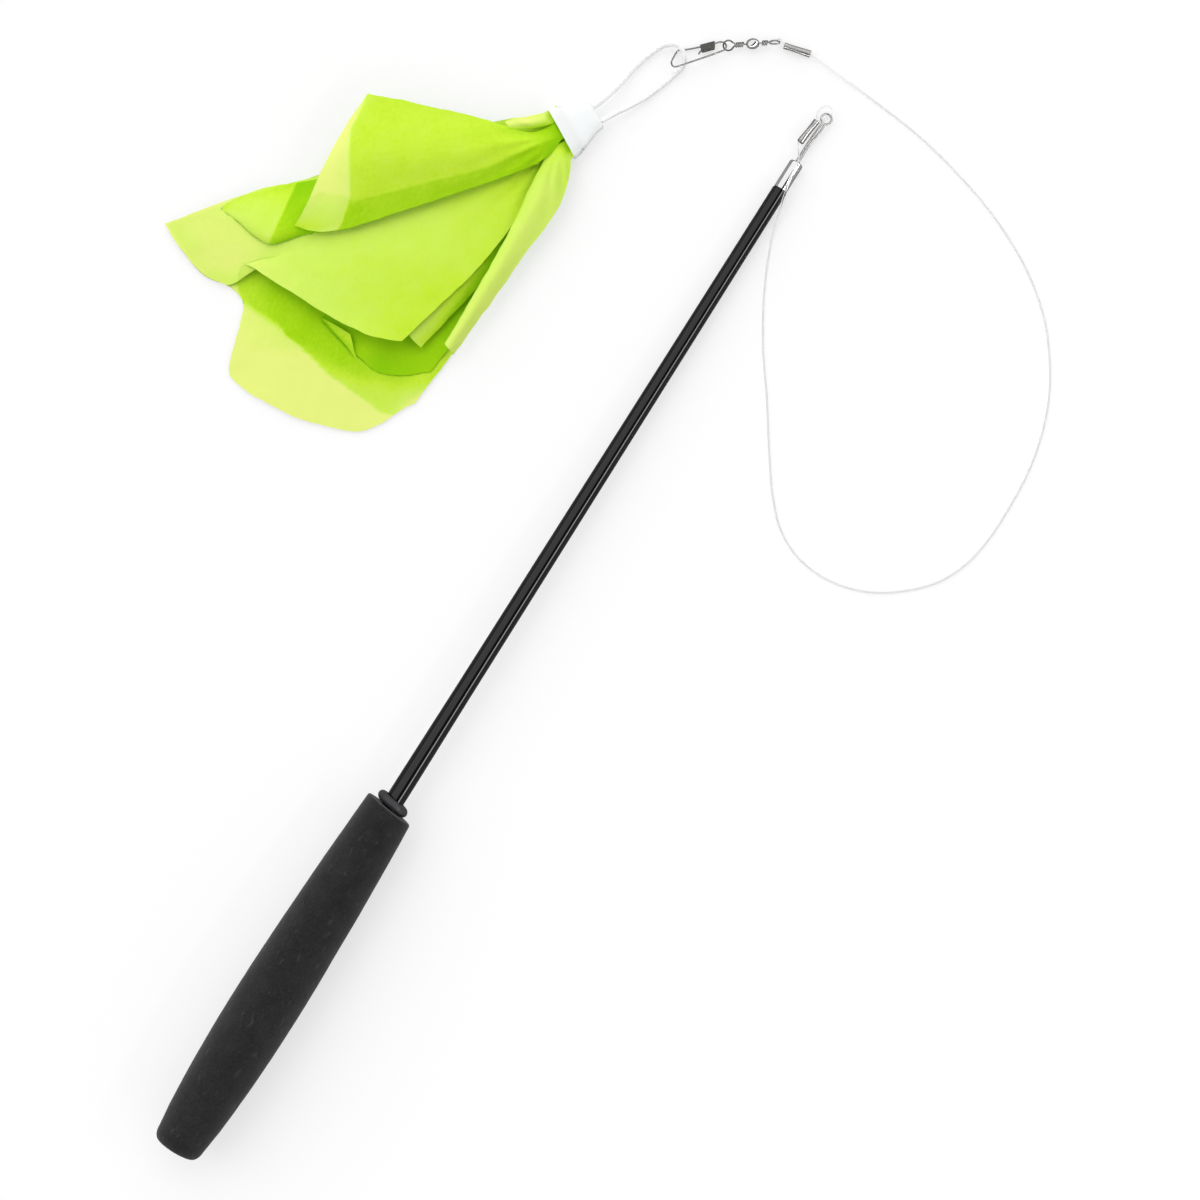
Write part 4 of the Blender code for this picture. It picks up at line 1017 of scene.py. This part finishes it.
def panelGrid(panel, hand):
    # The panel's points, each with its place before it was creased and how deep its dye, painted shade
    # included, is
    sizes = tissueSizes
    across, along = panel["size"]
    rows = [[(fromPicture(*spot[:3]), spot[3] if len(spot) > 3 else panel["dye"]) for spot in row]
            for row in panel["rows"]]
    if "mouth" in panel:
        start, end, height, dye = panel["mouth"]
        held = [[(capSpot(share, depth, height), dye) for share in (start, (start + end) / 2, end)]
                for depth in (sizes["insert"], -sizes["ahead"])]
        rows = held + rows
    bands = []
    for row in rows:
        spots = [Vector((*point, dye * sizes["dyeAndShadeStretch"])) for point, dye in row]
        bands.append(evenPath(smoothPath(spots, sizes["rowSpan"]), across))
    columns = [evenPath(smoothPath(column, sizes["columnSpan"]), along) for column in zip(*bands)]
    mouth = Vector(capPlace["mouth"])
    grid = []
    for column in columns:
        line = []
        for spot in column:
            point = Vector(spot[:3])
            away = max(0.0, (point - mouth).length - sizes["stillReach"])
            calm = min(1.0, away / sizes["calmReach"])
            lift = max(creases(point, away, hand) * calm, sizes["clearance"] - point.z)
            shaken = point / sizes["wobbleSize"]
            wobble = Vector((noise.noise(shaken), noise.noise(shaken + Vector((7, 7, 7))), 0))
            dye = spot[3] / sizes["dyeAndShadeStretch"] + markedDyeAndShade(panel.get("marks", ()), point)
            line.append((point + wobble * sizes["wobble"] * calm + Vector((0, 0, lift)), point, dye))
        grid.append(line)
    return grid


def coverOf(grids):
    # One search tree over the grids' faces, as they lie before they are creased, and each face's owner
    points, faces, owners = [], [], []
    for owner, grid in grids:
        start, along = len(points), len(grid[0])
        points += [smooth for column in grid for point, smooth, dye in column]
        for i in range(len(grid) - 1):
            for j in range(along - 1):
                at = start + i * along + j
                faces.append((at, at + along, at + along + 1, at + 1))
                owners.append(owner)
    return BVHTree.FromPolygons(points, faces), owners


def contactBelow(point, cover, owners, own):
    # How far the other panels close below deepen the colour, painted as the green that shows through from
    # them
    sizes, down = tissueSizes, Vector((0, 0, -1))
    depth, weight, reach = 0.0, sizes["darkest"], sizes["castStep"]
    for _ in range(sizes["casts"]):
        hit, normal, index, gap = cover.ray_cast(point + down * reach, down, sizes["castReach"])
        if hit is None:
            break
        reach += gap + sizes["castStep"]
        if owners[index] != own:
            depth += weight * exp(-(reach - sizes["touching"]) / sizes["contact"])
            weight *= sizes["fading"]
    return depth


contactSpread = [Vector((x, y, 0)) for x, y in ((0, 0), (0.9, 0.3), (-0.3, 0.9), (-0.9, -0.3), (0.3, -0.9))]
skyRings = ((0.0, 1), (0.7, 5), (1.2, 5))   # radians from straight up, and how many rays
skyRays = [Vector((sin(tip) * cos(turn), sin(tip) * sin(turn), cos(tip)))
           for tip, turns in skyRings for turn in (2 * pi * step / turns for step in range(turns))]


def coveredAbove(point, cover):
    # The share of the sky that other leaves hide, the nearer the more
    hidden = 0.0
    for ray in skyRays:
        start = point + ray * tissueSizes["shadeLift"]
        hit, normal, index, gap = cover.ray_cast(start, ray, tissueSizes["shadeReach"])
        if hit is not None:
            hidden += 1 - gap / tissueSizes["shadeReach"]
    return hidden / len(skyRays)


def leafMesh(name, grids, cover, owners):
    # The leaf without its thickness, with the dye and the painted shade of each point
    build = bmesh.new()
    dyeAndShadeLayer = build.verts.layers.float.new("dye")
    shadeLayer = build.verts.layers.float.new("shade")
    for own, grid in enumerate(grids):
        verts = []
        for column in grid:
            line = []
            for point, smooth, dye in column:
                vert = build.verts.new(onTable(point))
                contact = sum(contactBelow(smooth + shift, cover, owners, (name, own))
                              for shift in contactSpread)
                # Painted light: the green of the leaves close below is added to the dye
                vert[dyeAndShadeLayer] = dye + contact / len(contactSpread)
                # Painted shade: how far other leaves hide the sky here
                vert[shadeLayer] = coveredAbove(smooth, cover)
                line.append(vert)
            verts.append(line)
        for i in range(len(verts) - 1):
            for j in range(len(verts[0]) - 1):
                build.faces.new((verts[i][j], verts[i][j + 1], verts[i + 1][j + 1], verts[i + 1][j]))
    return smoothMesh(name, build)


def brightenUnder(mesh):
    # The painted shade of what lies above stays off a leaf's underside, which stays bright, and its dye there
    # is held down
    shades, dyeAndShadeValues = (mesh.attributes[layer].data for layer in ("shade", "dye"))
    for vert in mesh.vertices:
        if vert.normal.z < 0:
            shades[vert.index].value = 0.0
            dyeAndShadeValues[vert.index].value = min(dyeAndShadeValues[vert.index].value, tissueSizes["underDyeAndShade"])


def makeLeaf(name, leaf, grids, cover, owners):
    mesh = leafMesh(name, grids, cover, owners)
    thing = newObject(name, mesh)
    wall = thing.modifiers.new("thickness", "SOLIDIFY")
    wall.thickness = tissueSizes["thickness"] * mm
    wall.offset = 0.0
    thing.data = modifiedMesh(thing)
    thing.modifiers.clear()
    thing.data.name = name
    thing.data.set_sharp_from_angle(angle=radians(tissueSizes["sharp"]))   # so that the rims stay crisp
    brightenUnder(thing.data)
    paint(thing, finishes["tissue"])
    seat(thing, leaf["node"], "lure")


def makeTissue():
    grids, seen = {}, []
    apart, nearby = tissueSizes["leafHand"], tissueSizes["panelHand"]
    for count, (name, leaf) in enumerate(leaves.items()):
        panels = leaf["panels"]
        grids[name] = [panelGrid(panel, count * apart + own * nearby) for own, panel in enumerate(panels)]
        seen += [((name, own), grids[name][own]) for own, panel in enumerate(panels) if "lining" not in panel]
    cover, owners = coverOf(seen)
    for name, leaf in leaves.items():
        makeLeaf(name, leaf, grids[name], cover, owners)


makeTissue()
print("tissue made")


# Table, light and background

studio = {
    "tableSize": 12.0, "tableShade": 0.8, "cameraShade": 0.42, "cameraGlow": 0.585, "mirroredShade": 0.3,
    "tableGap": 0.01, "dim": 0.78, "bright": 2.4, "keyFrom": (-0.62, 0.39, 0.68), "keyEdges": (0.35, 0.95),
    "darkest": 0.03, "darkEdges": (0.9, 0.96),
    # What gloss mirrors, by its angle from straight up toward the rod's right: white card, black and lamp
    "mirrored": [(-90, 0.25), (-73, 0.25), (-67, 1.0), (7, 1.0), (12, 0.04), (43, 0.04), (46, 5.5), (57, 5.5),
                 (60, 0.35), (90, 0.35)],
    "streakPower": 1.3, "streakSize": (1.4, 0.06), "streakPlace": (0.85, 0.0, 0.8),
}
hanging = {"bodies": ("snap", "lure"), "ways": 120, "turn": 2.399963}   # looked at from this many sides


def makeTable():
    # The camera and glossy things see the table in shades of their own
    build = bmesh.new()
    bmesh.ops.create_grid(build, x_segments=1, y_segments=1, size=studio["tableSize"] / 2)
    mesh = bpy.data.meshes.new("table")
    build.to_mesh(mesh)
    build.free()
    table = newObject("table", mesh)
    table.location.z = -(tableDrop + studio["tableGap"]) * mm
    look = Finish("white table", Base_Color=(*[studio["tableShade"]] * 3, 1), Roughness=1.0,
                  Specular_IOR_Level=0.0)
    rays = look.tree.nodes.new("ShaderNodeLightPath").outputs
    seen = Wire(rays["Is Camera Ray"]).sum("MAXIMUM", Wire(rays["Is Transmission Ray"]))
    result = Wire(look.shader.outputs[0])
    for share, shade, glow in ((Wire(rays["Is Glossy Ray"]), studio["mirroredShade"], 0.0),
                               (seen, studio["cameraShade"], studio["cameraGlow"])):
        other = look.node("ShaderNodeBsdfPrincipled", Base_Color=(shade, shade, shade, 1), Roughness=1.0,
                          Specular_IOR_Level=0.0, Emission_Color=(1, 1, 1, 1), Emission_Strength=glow)
        result = look.node("ShaderNodeMixShader", i0=share, i1=result, i2=other)
    plug(look.output.inputs["Surface"], result)
    paint(table, look.material)
    table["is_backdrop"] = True
    return table


def hangTable(table):
    # The snap and the lure swing below the rod too, so the table stays under their lowest outermost point
    ways = []
    for count in range(hanging["ways"]):
        rise, turn = (2 * count + 1) / hanging["ways"] - 1, count * hanging["turn"]
        level = (1 - rise * rise) ** 0.5
        ways.append(Vector((cos(turn) * level, sin(turn) * level, rise)))
    for body in hanging["bodies"]:
        riding = [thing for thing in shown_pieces() if body_of(thing) == [body]]
        points = [vert.co for thing in riding for vert in thing.data.vertices]
        for point in sorted({tuple(max(points, key=way.dot)) for way in ways}):
            marker = newObject("outermost point", None)
            marker.parent = riding[0].parent
            marker.location = point
            stop = table.constraints.new("FLOOR")
            stop.target = marker
            stop.floor_location = "FLOOR_NEGATIVE_Z"


def makeLamp(name, power, size, place, aim):
    lamp = bpy.data.lights.new(name, "AREA")
    lamp.energy = power
    lamp.shape = "RECTANGLE"
    lamp.size, lamp.size_y = size
    thing = newObject(name, lamp)
    thing.location = place
    thing.rotation_euler = (Vector(place) - Vector(aim)).to_track_quat("Z", "Y").to_euler()


def makeSky():
    # White all round, brighter on the window's side, and dark straight above so that gloss stays black
    world = bpy.data.worlds.new("studio")
    bpy.context.scene.world = world
    world.use_nodes = True
    world.node_tree.nodes.clear()
    sky = NodeTree(world.node_tree)
    toward = sky.node("ShaderNodeTexCoord", output="Generated")
    facing = sky.vector("DOT_PRODUCT", "Value", i0=toward, i1=Vector(studio["keyFrom"]).normalized())
    height = sky.vector("DOT_PRODUCT", "Value", i0=toward, i1=(0, 0, 1))
    smooth = {"interpolation_type": "SMOOTHSTEP"}
    start, end = studio["keyEdges"]
    key = sky.node("ShaderNodeMapRange", smooth, i0=facing, i1=start, i2=end, i3=studio["dim"],
                   i4=studio["bright"])
    start, end = studio["darkEdges"]
    hole = sky.node("ShaderNodeMapRange", smooth, i0=height, i1=start, i2=end, i3=1.0, i4=studio["darkest"])
    result = sky.node("ShaderNodeBackground", i1=key * hole)
    parts = sky.node("ShaderNodeSeparateXYZ", i0=toward).socket.node.outputs
    turned = Wire(parts["X"]).sum("ARCTAN2", Wire(parts["Z"])) / pi + 0.5
    brightest = max(power for angle, power in studio["mirrored"])
    stops = [(angle / 180 + 0.5, power / brightest) for angle, power in studio["mirrored"]]
    bands = sky.node("ShaderNodeValToRGB", {"stops": stops}, i0=turned)
    mirrored = sky.node("ShaderNodeBackground", i0=bands, i1=brightest)
    seen = sky.node("ShaderNodeBackground", i1=1.0)
    for ray, other in (("Is Glossy Ray", mirrored), ("Is Camera Ray", seen)):
        share = sky.node("ShaderNodeLightPath", output=ray)
        result = sky.node("ShaderNodeMixShader", i0=share, i1=result, i2=other)
    plug(sky.tree.nodes.new("ShaderNodeOutputWorld").inputs["Surface"], result)


hangTable(makeTable())
makeSky()
middle = onTable((*picture["centre"], 0))
above = middle + Vector(studio["streakPlace"])
makeLamp("streak", studio["streakPower"], studio["streakSize"], above, middle)
bpy.context.scene.view_settings.view_transform = "Standard"
print("studio made")
